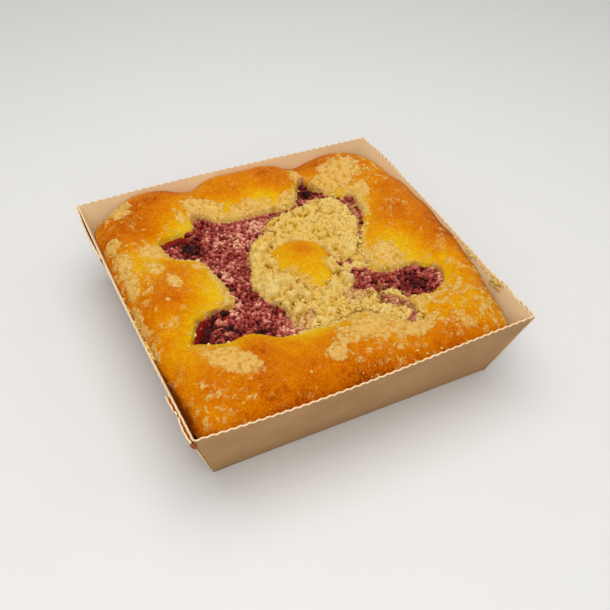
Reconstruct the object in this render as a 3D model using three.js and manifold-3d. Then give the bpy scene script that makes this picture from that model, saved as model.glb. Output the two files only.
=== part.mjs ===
// A square berry crumble cake, baked and sold in its folded board tray.
// Millimetres, +Z up. The origin is the middle of the tray's underside, and the front wall faces -Y.

import * as THREE from 'three';
import { mergeVertices } from 'three/addons/utils/BufferGeometryUtils.js';
import Module from 'manifold-3d';

const wasm = await Module();
wasm.setup();

// Board tray
const TRAY_HEIGHT = 40;
const BASE_HALF = 69.1;
const RIM_HALF = 80;
const BOARD = 0.7;
const RIM_WAVES = 42;
const WAVE_RISE = 0.4;
const POINTS_PER_WAVE = 4;
const WALL_POINTS = 21;
const WAVE_ROOT = 2;

// The rim's corners, not quite square, and how far each wall bulges: over its length, and more at one end.
const RIM_CORNERS = [[-79.7, -80.0], [79.4, -79.3], [81.4, 78.6], [-80.9, 80.6]];
const WALLS = [
  { name: 'front', bulge: 2.2, lean: -0.5 },
  { name: 'right', bulge: 1.3, lean: 0.4 },
  { name: 'back', bulge: 1.4, lean: 0.4 },
  { name: 'left', bulge: 0.9, lean: 0 },
];

// Glue tabs: the ends of the front and back walls, folded round the corners and over the side walls.
const FRONT_TAB = 26;
const BACK_TAB = 44;
const TAB_FOOT = 1.5;
const SLIT_DEPTH = 9;
const SLIT_WIDTH = 0.9;
const SLIT_EDGE = 0.06;
const SLIT_MARGIN = 0.08;
const TAB_SINK = 0.1;
const TAB_DROP = 0.5;
const TAB_POINTS_PER_WAVE = 2;

// Cake
const GAP = 0.3;
const BEARINGS = 84;
const CENTRE = { x: 5.5, y: -2.2 };
const CROWN = 41.6;
const WALL_FALL = 6.6;
const WALL_REACH = 5;
const WALL_CURVE = 1.4;
const SHOULDER_FALL = 5.8;
const SHOULDER_REACH = 7;
const CORNER_BLEND = 7;
const CRUST_STEPS = [0.05, 0.14, 0.28, 0.44, 0.6, 0.74, 0.86, 0.95];

// The knob of dough in the middle, where the four flaps meet. It narrows to the front.
const KNOB = { x: 13, y: 17.6, taper: 0.012, top: 40.6, fall: 5, steps: [0.3, 0.6, 0.85] };

// The opening between the flaps: a round middle with arms towards the corners.
// Each part of it tapers from root to tip.
const OPENING = [
  { name: 'middle', root: [-1, 7], tip: [-1, -9], wide: 33.5, narrow: 33.5 },
  { name: 'left bay', root: [-27, 18], tip: [-28, 12], wide: 9.5, narrow: 7 },
  { name: 'back left arm', root: [-26, 30], tip: [-41, 32], wide: 14, narrow: 9.5 },
  { name: 'back left tip', root: [-44, 36], tip: [-50.5, 40], wide: 5, narrow: 1.5 },
  { name: 'back left notch', root: [-27, 38], tip: [-28, 47], wide: 9, narrow: 4.5 },
  { name: 'back bay', root: [-18, 32], tip: [15, 31], wide: 10, narrow: 9 },
  { name: 'front left bay', root: [-20, -30], tip: [0, -20], wide: 12, narrow: 20 },
  { name: 'front left arm', root: [-30, -25], tip: [-47, -24.3], wide: 8.5, narrow: 8.6 },
  { name: 'front left tip', root: [-50, -25], tip: [-60, -28.5], wide: 7, narrow: 1.3 },
  { name: 'back right arm', root: [31, 37], tip: [32.5, 56], wide: 12, narrow: 3 },
  { name: 'right bay', root: [36, 28], tip: [43, 27], wide: 12, narrow: 8 },
  { name: 'right tip', root: [44, 32], tip: [51, 36.5], wide: 5, narrow: 1.5 },
  { name: 'right edge', root: [31, 11], tip: [40, 18], wide: 10.5, narrow: 6.5 },
  { name: 'front right arm', root: [28, -28], tip: [48, -33], wide: 9, narrow: 9.4 },
  { name: 'front right tip', root: [50, -32.5], tip: [55, -33], wide: 8.6, narrow: 6.5 },
  { name: 'front arm', root: [27, -38], tip: [34.5, -54], wide: 11, narrow: 4 },
];
const OPENING_BLEND = 7;
const SPUR = 14;

// Where the crust pulls away from the tray: a line at this bearing, this far from the tray's middle.
const PULLED_CORNERS = [
  { name: 'back left', bearing: 127, reach: 99 },
  { name: 'back right', bearing: 50, reach: 100 },
  { name: 'front right', bearing: -15, reach: 87.6 },
];

// Highs and lows of the crust.
const MOUNDS = [
  { name: 'left flap', at: [-61, -2], rise: 1.4, spread: 20 },
  { name: 'back left corner', at: [-44, 66], rise: 2.0, spread: 16 },
  { name: 'back left dip', at: [-26, 78], rise: -4.4, spread: 9 },
  { name: 'back flap', at: [12, 62], rise: 1.8, spread: 17 },
  { name: 'back right crease', at: [36, 71], rise: -4.5, spread: 8 },
  { name: 'back right corner', at: [58, 60], rise: 1.4, spread: 15 },
  { name: 'right flap', at: [64, 12], rise: 1.8, spread: 20 },
  { name: 'front flap', at: [-14, -60], rise: 2.2, spread: 20 },
  { name: 'front left corner', at: [-66, -66], rise: -0.8, spread: 14 },
  { name: 'front right corner', at: [52, -62], rise: 0.6, spread: 18 },
  { name: 'back wall, left', at: [-54, 84], rise: 2.6, spread: 13 },
  { name: 'back wall, middle left', at: [-32, 84], rise: 1.8, spread: 12 },
  { name: 'back wall, middle', at: [-8, 84], rise: 3, spread: 13 },
  { name: 'back wall, right', at: [16, 84], rise: 2.4, spread: 13 },
  { name: 'right wall, back', at: [84, 32], rise: 3, spread: 13 },
  { name: 'right wall, middle', at: [84, 9], rise: 3, spread: 13 },
  { name: 'right wall, front', at: [84, -15], rise: 2.6, spread: 13 },
];

// Patches of crumbs on the crust: half-lengths, the way each points, and the number of single crumbs in it.
const PATCHES = [
  { name: 'back left corner', at: [-61, 71], size: [7, 4], turn: 60, crumbs: 3 },
  { name: 'left upper', at: [-57, 30], size: [7, 5], turn: 10, crumbs: 4 },
  { name: 'left middle', at: [-61, 17], size: [4, 3], turn: 60, crumbs: 2 },
  { name: 'left lower', at: [-55, 5], size: [4, 3], turn: 100, crumbs: 2 },
  { name: 'left wall', at: [-73, 26], size: [17, 3], turn: 92, crumbs: 4 },
  { name: 'front left', at: [-51, -46], size: [15, 6], turn: -52, crumbs: 5 },
  { name: 'back flap', at: [-14, 49], size: [17, 5], turn: -22, crumbs: 5 },
  { name: 'back right', at: [50, 51], size: [14, 9], turn: 45, crumbs: 6 },
  { name: 'right flap', at: [42, -12], size: [6, 5], turn: -40, crumbs: 3 },
  { name: 'front flap', at: [10, -53], size: [13, 10], turn: 20, crumbs: 6 },
  { name: 'front right', at: [52, -65], size: [17, 8], turn: 15, crumbs: 5 },
];
const PATCH_RISE = 0.7;
const PATCH_EDGE = 3;
const PATCH_CRUMB = { smallest: 0.9, largest: 1.7, squash: 0.75, sink: 0.15 };
const CRUMB_CLEAR = 2.4;

// Fruit filling, a layer of soaked crumbs and jam in the opening. It is thinner under the heap.
const POCKET_FLOOR = 27;
const FILLING_LEVEL = 34;
const FILLING_SINK = 4;
const FILLING_STEPS = [0.3, 0.55, 0.8];
const FILLING_GRAIN = 0.9;
const HOLLOWS = [
  { name: 'back left', at: [-37, 33], depth: 3, spread: 6 },
  { name: 'front left', at: [-53, -24], depth: 1.5, spread: 7 },
  { name: 'front left pit', at: [-29, -30], depth: 2.4, spread: 3.5 },
  { name: 'back right', at: [33, 53], depth: 3, spread: 6 },
  { name: 'front right', at: [48, -33], depth: 1.6, spread: 8 },
];

// Crumble, heaped on the filling round the knob. Each part of the heap tapers from root to tip.
const HEAP = [
  { name: 'middle', root: [3, 8], tip: [1, -8], wide: 20, narrow: 24 },
  { name: 'back', root: [2, 30], tip: [34, 28], wide: 12, narrow: 15 },
  { name: 'right', root: [34, 10], tip: [38, 6], wide: 14, narrow: 12 },
  { name: 'right spur', root: [38, -8], tip: [40, -14], wide: 8, narrow: 7 },
  { name: 'front', root: [-6, -34], tip: [28, -40], wide: 10, narrow: 10 },
  { name: 'front arm', root: [28, -44], tip: [33, -54], wide: 8, narrow: 5 },
];
const HEAP_BLEND = 4;
const HEAP_BRIDGE = 8;
const HEAP_LEVEL = 36.2;
const HEAP_STEPS = [0.35, 0.7];
const HEAP_GRAIN = 0.8;
const HEAP_SLOPE = 5;
const HEAP_FOOT = 1;
const HEAP_MOUNDS = [
  { name: 'back', at: [12, 30], rise: 1.8, spread: 16 },
  { name: 'right', at: [32, 22], rise: 1.4, spread: 14 },
  { name: 'front', at: [8, -36], rise: 1.2, spread: 12 },
];
const LUMPS = [
  { name: 'left', at: [-17, -3], radius: 6.4 },
  { name: 'lower left', at: [-11, -11], radius: 5.4 },
  { name: 'upper left', at: [-11, 16], radius: 5 },
  { name: 'front left', at: [-5, -19], radius: 4.2 },
  { name: 'front', at: [8, -28], radius: 4.6 },
  { name: 'front right', at: [14, -20], radius: 3.8 },
  { name: 'right', at: [20, -2], radius: 4 },
  { name: 'right spur', at: [38, -13], radius: 4.6 },
  { name: 'back', at: [-3, 23], radius: 4 },
  { name: 'back right', at: [20, 33], radius: 3.6 },
];
const LUMP_SQUASH = 0.65;
const LUMP_ROUGHNESS = 0.22;
const HEAP_CRUMBS = 16;
const CRUMB_ROOM = 1.3;
const HEAP_CRUMB = { smallest: 1.2, largest: 2.4, squash: 0.85, sink: 0.1 };

const RANDOM_SEED = 20;

const FINISHES = {
  board: { color: 0xcda77c, roughness: 0.85, metalness: 0 },
  crust: { color: 0xd98712, roughness: 0.45, metalness: 0 },
  filling: { color: 0x7d2430, roughness: 0.5, metalness: 0 },
  crumble: { color: 0xe2c373, roughness: 0.9, metalness: 0 },
};

// Small sums

const lerp = THREE.MathUtils.lerp;
const clamp = THREE.MathUtils.clamp;
const radians = THREE.MathUtils.degToRad;

function makeRandom(seed) {
  let state = seed;
  const stride = 0x6d2b79f5;
  const range = 2 ** 32;
  return () => {
    state = (state + stride) | 0;
    let t = Math.imul(state ^ (state >>> 15), 1 | state);
    t = (t + Math.imul(t ^ (t >>> 7), 61 | t)) ^ t;
    return ((t ^ (t >>> 14)) >>> 0) / range;
  };
}

function blendedLeast(a, b, blend) {
  const near = Math.max(blend - Math.abs(a - b), 0) / blend;
  return Math.min(a, b) - near * near * blend / 4;
}

function blendedMost(a, b, blend) {
  return -blendedLeast(-a, -b, blend);
}

function hill(x, y, at, spread) {
  const far = Math.hypot(x - at[0], y - at[1]) / spread;
  return Math.exp(-far * far);
}

// How far along a bearing from the knob's middle a region reaches, where its distance is negative inside it.
// A spur that crosses the bearing for less than the bridge doesn't end it.
function reachOf(distance, bearing, bridge) {
  const step = 0.25;
  const at = (far) => distance(CENTRE.x + far * Math.cos(bearing), CENTRE.y + far * Math.sin(bearing));
  let reach = KNOB.y;
  for (let far = reach; far <= reach + bridge + step; far += step) {
    if (at(far) < 0) reach = far;
  }
  return reach + step * at(reach) / (at(reach) - at(reach + step));
}

// Meshes from rows of points

function makeGeometry(points, triangles) {
  const geometry = new THREE.BufferGeometry();
  geometry.setAttribute('position', new THREE.Float32BufferAttribute(points.flat(), 3));
  geometry.setIndex(triangles.flat());
  return geometry;
}

// Joins two closed rows, where the upper has a whole number of points for each point of the lower.
function stitch(triangles, lower, upper) {
  const ratio = upper.length / lower.length;
  for (let i = 0; i < lower.length; i++) {
    const a = lower[i];
    const b = lower[(i + 1) % lower.length];
    const turn = Math.floor(ratio / 2);
    for (let k = 0; k < ratio; k++) {
      const u = upper[i * ratio + k];
      const v = upper[(i * ratio + k + 1) % upper.length];
      if (k === turn) triangles.push([a, b, u]);
      triangles.push([k < turn ? a : b, v, u]);
    }
  }
}

function cap(triangles, row, apex, upward) {
  for (let i = 0; i < row.length; i++) {
    const a = row[i];
    const b = row[(i + 1) % row.length];
    triangles.push(upward ? [a, b, apex] : [b, a, apex]);
  }
}

// A solid from closed rows of points that run from its top middle, out, down and back to its bottom middle.
function shellOfRows(rows, top, bottom) {
  const points = [];
  const triangles = [];
  const indexed = rows.map((row) => row.map((point) => points.push(point) - 1));
  for (let i = 0; i + 1 < indexed.length; i++) stitch(triangles, indexed[i + 1], indexed[i]);
  cap(triangles, indexed[0], points.push(top) - 1, true);
  cap(triangles, indexed.at(-1), points.push(bottom) - 1, false);
  return makeGeometry(points, triangles);
}

// A ring with no middle: its rows run round its section and meet again.
function ringOfRows(rows) {
  const points = [];
  const triangles = [];
  const indexed = rows.map((row) => row.map((point) => points.push(point) - 1));
  indexed.forEach((row, i) => stitch(triangles, indexed[(i + 1) % indexed.length], row));
  return makeGeometry(points, triangles);
}

// Joins and cuts

function toSolid(geometry) {
  const bare = geometry.clone();
  bare.deleteAttribute('normal');
  bare.deleteAttribute('uv');
  const merged = mergeVertices(bare);
  const vertProperties = new Float32Array(merged.attributes.position.array);
  const triVerts = new Uint32Array(merged.index.array);
  return new wasm.Manifold(new wasm.Mesh({ numProp: 3, vertProperties, triVerts }));
}

function toGeometry(solid) {
  const mesh = solid.getMesh();
  const geometry = new THREE.BufferGeometry();
  geometry.setAttribute('position', new THREE.BufferAttribute(mesh.vertProperties, mesh.numProp));
  geometry.setIndex(new THREE.BufferAttribute(mesh.triVerts, 1));
  return geometry;
}

function largestPiece(solid) {
  const pieces = solid.decompose();
  return pieces.reduce((best, piece) => (piece.volume() > best.volume() ? piece : best));
}

// Tray walls

function wallLine(index, height) {
  const share = height / TRAY_HEIGHT;
  const base = RIM_CORNERS.map(([x, y]) => [Math.sign(x) * BASE_HALF, Math.sign(y) * BASE_HALF]);
  const ends = [index, (index + 1) % 4].map((corner) => base[corner].map(
    (value, axis) => lerp(value, RIM_CORNERS[corner][axis], share),
  ));
  return { from: ends[0], to: ends[1], share };
}

function wallNormal(index) {
  const { from, to } = wallLine(index, 0);
  const length = Math.hypot(to[0] - from[0], to[1] - from[1]);
  return [(to[1] - from[1]) / length, (from[0] - to[0]) / length];
}

function wallBulge(index, along, share) {
  const { bulge, lean } = WALLS[index];
  return share * (bulge * Math.sin(Math.PI * along) - lean * Math.sin(2 * Math.PI * along));
}

// A point on a wall, this far outside its outer face.
function wallPoint(index, along, height, outside) {
  const { from, to, share } = wallLine(index, height);
  const normal = wallNormal(index);
  const push = wallBulge(index, along, share) + outside;
  return [
    lerp(from[0], to[0], along) + normal[0] * push,
    lerp(from[1], to[1], along) + normal[1] * push,
  ];
}

function scallop(along) {
  return WAVE_RISE * Math.cos(2 * Math.PI * RIM_WAVES * along);
}

// A closed row round the tray, on its outer face, or one board thickness in.
function trayRow(height, pointsPerWall, inset, waved) {
  const row = [];
  for (let wall = 0; wall < 4; wall++) {
    for (let i = 0; i < pointsPerWall; i++) {
      const along = i / pointsPerWall;
      const corner = 1 - 2 * along;
      const [x, y] = wallPoint(wall, along, height, -inset);
      const normal = wallNormal(wall);
      const inward = inset * corner;
      row.push([x - normal[1] * inward, y + normal[0] * inward, height + (waved ? scallop(along) : 0)]);
    }
  }
  return row;
}

function buildTrayShell() {
  const fine = RIM_WAVES * POINTS_PER_WAVE;
  const root = TRAY_HEIGHT - WAVE_ROOT;
  const rows = [
    trayRow(BOARD, WALL_POINTS, BOARD, false),
    trayRow(root, WALL_POINTS, BOARD, false),
    trayRow(TRAY_HEIGHT, fine, BOARD, true),
    trayRow(TRAY_HEIGHT, fine, 0, true),
    trayRow(root, WALL_POINTS, 0, false),
    trayRow(0, WALL_POINTS, 0, false),
  ];
  const points = [];
  const triangles = [];
  const [floor, innerRoot, innerRim, outerRim, outerRoot, foot] = rows.map(
    (row) => row.map((point) => points.push(point) - 1),
  );
  const inner = [];
  stitch(inner, floor, innerRoot);
  stitch(inner, innerRoot, innerRim);
  for (const [a, b, c] of inner) triangles.push([b, a, c]);
  stitch(triangles, outerRim, innerRim);
  stitch(triangles, outerRoot, outerRim);
  stitch(triangles, foot, outerRoot);
  cap(triangles, floor, points.push([0, 0, BOARD]) - 1, true);
  cap(triangles, foot, points.push([0, 0, 0]) - 1, false);
  return toSolid(makeGeometry(points, triangles));
}

// A board panel against a wall's outer face. Its rows run along its outer side and back along its inner side.
function panelOfRows(rows) {
  const points = [];
  const triangles = [];
  const indexed = rows.map((row) => row.map((point) => points.push(point) - 1));
  for (let i = 0; i + 1 < indexed.length; i++) stitch(triangles, indexed[i + 1], indexed[i]);
  for (const [row, upward] of [[indexed[0], true], [indexed.at(-1), false]]) {
    const last = row.length - 1;
    for (let i = 0; i + 1 < row.length / 2; i++) {
      const [a, b, c, d] = [row[i], row[i + 1], row[last - i - 1], row[last - i]];
      triangles.push(...(upward ? [[a, b, c], [a, c, d]] : [[b, a, c], [c, a, d]]));
    }
  }
  return toSolid(makeGeometry(points, triangles));
}

function panelRow(wall, ends, height, count, inner, outer, waved) {
  const row = [];
  for (const [face, from, to] of [[outer, 0, 1], [inner, 1, 0]]) {
    for (let i = 0; i < count; i++) {
      const share = lerp(from, to, i / (count - 1));
      const along = lerp(ends[0], ends[1], share);
      const [x, y] = wallPoint(wall, along, height, face(along));
      row.push([x, y, height + (waved ? scallop(along) : 0)]);
    }
  }
  return row;
}

// A glue tab from start to end along a wall. A slit stays open behind its top edge where it isn't stuck down.
function buildTab(wall, start, end, slit) {
  const ends = [start, end];
  const waves = Math.round((end - start) * RIM_WAVES);
  const fine = slit ? waves * TAB_POINTS_PER_WAVE : waves;
  const open = (along) => slit * Math.sin(Math.PI * (along - start) / (end - start)) ** 2;
  const sunk = () => -TAB_SINK;
  const flat = () => BOARD;
  const bowed = (along) => BOARD + open(along);
  const slitFoot = TRAY_HEIGHT - SLIT_DEPTH;
  const tab = panelOfRows([
    panelRow(wall, ends, TRAY_HEIGHT - TAB_DROP, fine, sunk, bowed, slit > 0),
    panelRow(wall, ends, TRAY_HEIGHT - WAVE_ROOT, waves, sunk, bowed, false),
    panelRow(wall, ends, slitFoot, waves, sunk, flat, false),
    panelRow(wall, ends, TAB_FOOT, waves, sunk, flat, false),
  ]);
  if (!slit) return tab;
  const over = TRAY_HEIGHT + 2 * WAVE_RISE;
  const slitEnds = [lerp(start, end, SLIT_MARGIN), lerp(end, start, SLIT_MARGIN)];
  const gap = panelOfRows([
    panelRow(wall, slitEnds, over, waves, () => 0, (along) => SLIT_EDGE + open(along), false),
    panelRow(wall, slitEnds, slitFoot, waves, () => 0, () => SLIT_EDGE, false),
  ]);
  return tab.subtract(gap);
}

function buildTray() {
  const frontShare = FRONT_TAB / (2 * RIM_HALF);
  const backShare = BACK_TAB / (2 * RIM_HALF);
  const left = 3;
  const right = 1;
  const tabs = [
    buildTab(left, 1 - frontShare, 1, SLIT_WIDTH),
    buildTab(left, 0, backShare, SLIT_WIDTH),
    buildTab(right, 0, frontShare, 0),
    buildTab(right, 1 - backShare, 1, 0),
  ];
  return tabs.reduce((tray, tab) => tray.add(tab), buildTrayShell());
}

// Distances across the plan, negative inside

function partDistance({ root, tip, wide, narrow }, x, y) {
  const run = [tip[0] - root[0], tip[1] - root[1]];
  const length = run[0] ** 2 + run[1] ** 2;
  const share = clamp(((x - root[0]) * run[0] + (y - root[1]) * run[1]) / length, 0, 1);
  return Math.hypot(x - root[0] - share * run[0], y - root[1] - share * run[1]) - lerp(wide, narrow, share);
}

function regionDistance(parts, blend, x, y) {
  return parts.map((part) => partDistance(part, x, y)).reduce((a, b) => blendedLeast(a, b, blend));
}

const openingDistance = (x, y) => regionDistance(OPENING, OPENING_BLEND, x, y);
const heapDistance = (x, y) => regionDistance(HEAP, HEAP_BLEND, x, y);

// Distance from the inside of the tray, one gap in from its board, at a height.
function trayDistance(x, y, height) {
  const distances = WALLS.map((_, index) => {
    const { from, to, share } = wallLine(index, height);
    const run = [to[0] - from[0], to[1] - from[1]];
    const length = Math.hypot(...run);
    const along = clamp(((x - from[0]) * run[0] + (y - from[1]) * run[1]) / length ** 2, 0, 1);
    const outward = ((x - from[0]) * run[1] - (y - from[1]) * run[0]) / length;
    return outward - wallBulge(index, along, share) + BOARD + GAP;
  });
  return distances.reduce((a, b) => blendedMost(a, b, CORNER_BLEND));
}

function moundRise(x, y) {
  return MOUNDS.reduce((sum, { at, rise, spread }) => sum + rise * hill(x, y, at, spread), 0);
}

function crustDistance(x, y) {
  const edgeLevel = CROWN + moundRise(x, y) - WALL_FALL;
  const pulled = PULLED_CORNERS.map(({ bearing, reach }) => (
    x * Math.cos(radians(bearing)) + y * Math.sin(radians(bearing)) - reach
  ));
  return pulled.reduce((a, b) => blendedMost(a, b, CORNER_BLEND), trayDistance(x, y, edgeLevel));
}

function patchShare({ at, size, turn }, x, y) {
  const cos = Math.cos(radians(turn));
  const sin = Math.sin(radians(turn));
  const along = ((x - at[0]) * cos + (y - at[1]) * sin) / size[0];
  const across = ((y - at[1]) * cos - (x - at[0]) * sin) / size[1];
  return Math.hypot(along, across);
}

// Heights over the plan

function crustHeight(x, y) {
  const fromWall = Math.max(-crustDistance(x, y), 0);
  const fromOpening = Math.max(openingDistance(x, y), 0);
  const patches = PATCHES.map((patch) => clamp(PATCH_EDGE * (1 - patchShare(patch, x, y)), 0, 1));
  return CROWN + moundRise(x, y) + PATCH_RISE * Math.max(...patches)
    - WALL_FALL * Math.exp(-((fromWall / WALL_REACH) ** WALL_CURVE))
    - SHOULDER_FALL * Math.exp(-fromOpening / SHOULDER_REACH);
}

function fillingHeight(x, y) {
  const dip = HOLLOWS.reduce((sum, { at, depth, spread }) => sum + depth * hill(x, y, at, spread), 0);
  return FILLING_LEVEL - dip - FILLING_SINK * clamp(-heapDistance(x, y) / HEAP_SLOPE, 0, 1);
}

function heapHeight(x, y) {
  const rise = HEAP_MOUNDS.reduce((sum, mound) => sum + mound.rise * hill(x, y, mound.at, mound.spread), 0);
  return HEAP_LEVEL + rise;
}

// Rows of points, one for each bearing from the knob's middle

function makeBearings() {
  const bearings = Array.from({ length: BEARINGS }, (_, i) => (2 * Math.PI * i) / BEARINGS);
  const marks = [...OPENING.slice(1).map((part) => part.tip), ...RIM_CORNERS];
  for (const [x, y] of marks) {
    const wanted = Math.atan2(y - CENTRE.y, x - CENTRE.x);
    const index = Math.round((wanted / (2 * Math.PI)) * BEARINGS);
    bearings[(index + BEARINGS) % BEARINGS] = wanted < 0 ? wanted + 2 * Math.PI : wanted;
  }
  return bearings;
}

const bearings = makeBearings();

function pointAt(bearing, reach) {
  return [CENTRE.x + reach * Math.cos(bearing), CENTRE.y + reach * Math.sin(bearing)];
}

function knobReach(bearing, gap) {
  const passes = 4;
  let reach = KNOB.y;
  for (let pass = 0; pass < passes; pass++) {
    const width = KNOB.x * (1 + KNOB.taper * reach * Math.sin(bearing)) + gap;
    reach = 1 / Math.hypot(Math.cos(bearing) / width, Math.sin(bearing) / (KNOB.y + gap));
  }
  return reach;
}

// Moves each point of a closed row inward, square to the row's sides.
function insetRow(row, gap) {
  const sharpest = 3;
  return row.map((point, i) => {
    const before = row[(i + row.length - 1) % row.length];
    const after = row[(i + 1) % row.length];
    const normals = [[before, point], [point, after]].map(([a, b]) => {
      const length = Math.hypot(b[0] - a[0], b[1] - a[1]);
      return [(a[1] - b[1]) / length, (b[0] - a[0]) / length];
    });
    const sum = [normals[0][0] + normals[1][0], normals[0][1] + normals[1][1]];
    const square = (sum[0] ** 2 + sum[1] ** 2) / 2;
    const scale = gap * Math.min(1 / square, sharpest);
    return [point[0] + sum[0] * scale, point[1] + sum[1] * scale];
  });
}

const withHeight = (row, height) => row.map(([x, y]) => [
  x,
  y,
  typeof height === 'function' ? height(x, y) : height,
]);

// The row that lies this share of the way from an inner row to an outer one.
const between = (inner, outer, share) => inner.map((point, i) => [
  lerp(point[0], outer[i][0], share),
  lerp(point[1], outer[i][1], share),
]);

const knobRow = (gap) => bearings.map((bearing) => pointAt(bearing, knobReach(bearing, gap)));
const openingRow = bearings.map((bearing) => pointAt(bearing, reachOf(openingDistance, bearing, SPUR)));
const crustRow = bearings.map((bearing) => pointAt(bearing, reachOf(crustDistance, bearing, 0)));
const pocketRow = insetRow(openingRow, GAP);
const footRow = bearings.map((bearing) => pointAt(
  bearing,
  reachOf((x, y) => trayDistance(x, y, BOARD + GAP), bearing, 0),
));

// Crumbs

// A small faceted crumb, turned at random, whose middle is at a point.
function makeCrumb(random, [x, y, z], radius, squash) {
  const crumb = new THREE.IcosahedronGeometry(radius, 0);
  const uneven = 0.2;
  crumb.rotateX(random() * Math.PI);
  crumb.rotateZ(random() * Math.PI);
  crumb.scale(1 + uneven * (random() - 0.5), 1 + uneven * (random() - 0.5), squash);
  crumb.translate(x, y, z);
  return toSolid(crumb);
}

// A flattened lump of crumble with finer, uneven faces.
function makeLump({ at, radius }) {
  const lump = new THREE.IcosahedronGeometry(radius, 1);
  const position = lump.attributes.position;
  for (let i = 0; i < position.count; i++) {
    const [x, y, z] = [position.getX(i), position.getY(i), position.getZ(i)];
    const rough = 1 + LUMP_ROUGHNESS * Math.sin(x + at[0]) * Math.sin(y + at[1]) * Math.cos(z);
    position.setXYZ(i, x * rough, y * rough, z * rough * LUMP_SQUASH);
  }
  lump.translate(...at, heapHeight(...at));
  return toSolid(lump);
}

// A body and the pieces fused to it, without any scrap that doesn't touch it.
function withPieces(body, pieces) {
  return largestPiece(pieces.reduce((whole, piece) => whole.add(piece), body));
}

// The cake: knob, four flaps, the pocket between them, and the crumbs that lie on the crust.
function buildCake() {
  const knobHeight = (share) => KNOB.top - KNOB.fall * share ** 2;
  const middle = knobRow(0).map(() => [CENTRE.x, CENTRE.y]);
  const rows = [
    ...KNOB.steps.map((step) => withHeight(between(middle, knobRow(0), step), knobHeight(step))),
    withHeight(knobRow(0), knobHeight(1)),
    withHeight(knobRow(0), POCKET_FLOOR),
    withHeight(openingRow, POCKET_FLOOR),
    withHeight(openingRow, crustHeight),
    ...CRUST_STEPS.map((step) => withHeight(between(openingRow, crustRow, step), crustHeight)),
    withHeight(crustRow, crustHeight),
    withHeight(footRow, BOARD + GAP),
  ];
  const foot = [CENTRE.x, CENTRE.y, BOARD + GAP];
  const body = toSolid(shellOfRows(rows, [CENTRE.x, CENTRE.y, KNOB.top], foot));
  const random = makeRandom(RANDOM_SEED);
  const crumbs = PATCHES.flatMap((patch) => (
    Array.from({ length: patch.crumbs }, () => patchCrumb(random, patch))
  ));
  return withPieces(body, crumbs.filter((crumb) => crumb !== null));
}

function patchCrumb(random, { at, size, turn }) {
  const bearing = random() * 2 * Math.PI;
  const share = Math.sqrt(random());
  const along = share * size[0] * Math.cos(bearing);
  const across = share * size[1] * Math.sin(bearing);
  const x = at[0] + along * Math.cos(radians(turn)) - across * Math.sin(radians(turn));
  const y = at[1] + along * Math.sin(radians(turn)) + across * Math.cos(radians(turn));
  const { smallest, largest, squash, sink } = PATCH_CRUMB;
  const radius = lerp(smallest, largest, random());
  if (crustDistance(x, y) > -CRUMB_CLEAR || openingDistance(x, y) < CRUMB_CLEAR) return null;
  return makeCrumb(random, [x, y, crustHeight(x, y) - sink * radius], radius, squash);
}

// The fruit filling, a ring round the knob that reaches into the arms of the opening.
function buildFilling() {
  const random = makeRandom(RANDOM_SEED + 1);
  const grain = (x, y) => fillingHeight(x, y) + FILLING_GRAIN * (random() - 0.5);
  const inner = knobRow(GAP);
  return toSolid(ringOfRows([
    withHeight(inner, fillingHeight),
    ...FILLING_STEPS.map((step) => withHeight(between(inner, pocketRow, step), grain)),
    withHeight(pocketRow, grain),
    withHeight(pocketRow, POCKET_FLOOR + GAP),
    withHeight(inner, POCKET_FLOOR + GAP),
  ]));
}

// The crumble: a heap on the filling, its lumps and crumbs, cut clear of the knob and the filling.
function buildCrumble(filling) {
  const random = makeRandom(RANDOM_SEED + 2);
  const clear = 1.2 * GAP;
  const inner = knobRow(clear);
  const wall = insetRow(openingRow, clear);
  const wallReach = wall.map(([x, y]) => Math.hypot(x - CENTRE.x, y - CENTRE.y));
  const heapReach = bearings.map((bearing) => reachOf(heapDistance, bearing, HEAP_BRIDGE));
  const free = wallReach.map((reach, i) => clamp((reach - heapReach[i]) / HEAP_SLOPE, 0, 1));
  const outer = wall.map(([x, y], i) => {
    const share = Math.min(heapReach[i] / wallReach[i], 1);
    return [lerp(CENTRE.x, x, share), lerp(CENTRE.y, y, share)];
  });
  const surface = (share) => between(inner, outer, share).map(([x, y], i) => {
    const level = heapHeight(x, y);
    const drop = free[i] * share ** 2 * (level - FILLING_LEVEL - HEAP_GRAIN);
    return [x, y, level - drop + HEAP_GRAIN * (random() - 0.5)];
  });
  const core = toSolid(ringOfRows([
    ...[0, ...HEAP_STEPS, 1].map(surface),
    withHeight(outer, POCKET_FLOOR + HEAP_FOOT),
    withHeight(inner, POCKET_FLOOR + HEAP_FOOT),
  ]));
  const crumbs = [];
  while (crumbs.length < HEAP_CRUMBS) {
    const i = Math.floor(random() * BEARINGS);
    const share = Math.sqrt(random());
    const radius = lerp(HEAP_CRUMB.smallest, HEAP_CRUMB.largest, random());
    const [x, y, z] = surface(share)[i];
    const fromKnob = Math.hypot(x - CENTRE.x, y - CENTRE.y) - knobReach(bearings[i], 0);
    const room = Math.min(-openingDistance(x, y), fromKnob);
    if (room < CRUMB_ROOM * radius + GAP) continue;
    crumbs.push(makeCrumb(random, [x, y, z - HEAP_CRUMB.sink * radius], radius, HEAP_CRUMB.squash));
  }
  const sleeve = toSolid(shellOfRows(
    [withHeight(knobRow(clear), 2 * TRAY_HEIGHT), withHeight(knobRow(clear), 0)],
    [CENTRE.x, CENTRE.y, 2 * TRAY_HEIGHT],
    [CENTRE.x, CENTRE.y, 0],
  ));
  const whole = [...LUMPS.map(makeLump), ...crumbs].reduce((sum, piece) => sum.add(piece), core);
  return largestPiece(whole.subtract(sleeve).subtract(filling.translate([0, 0, GAP])));
}

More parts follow.
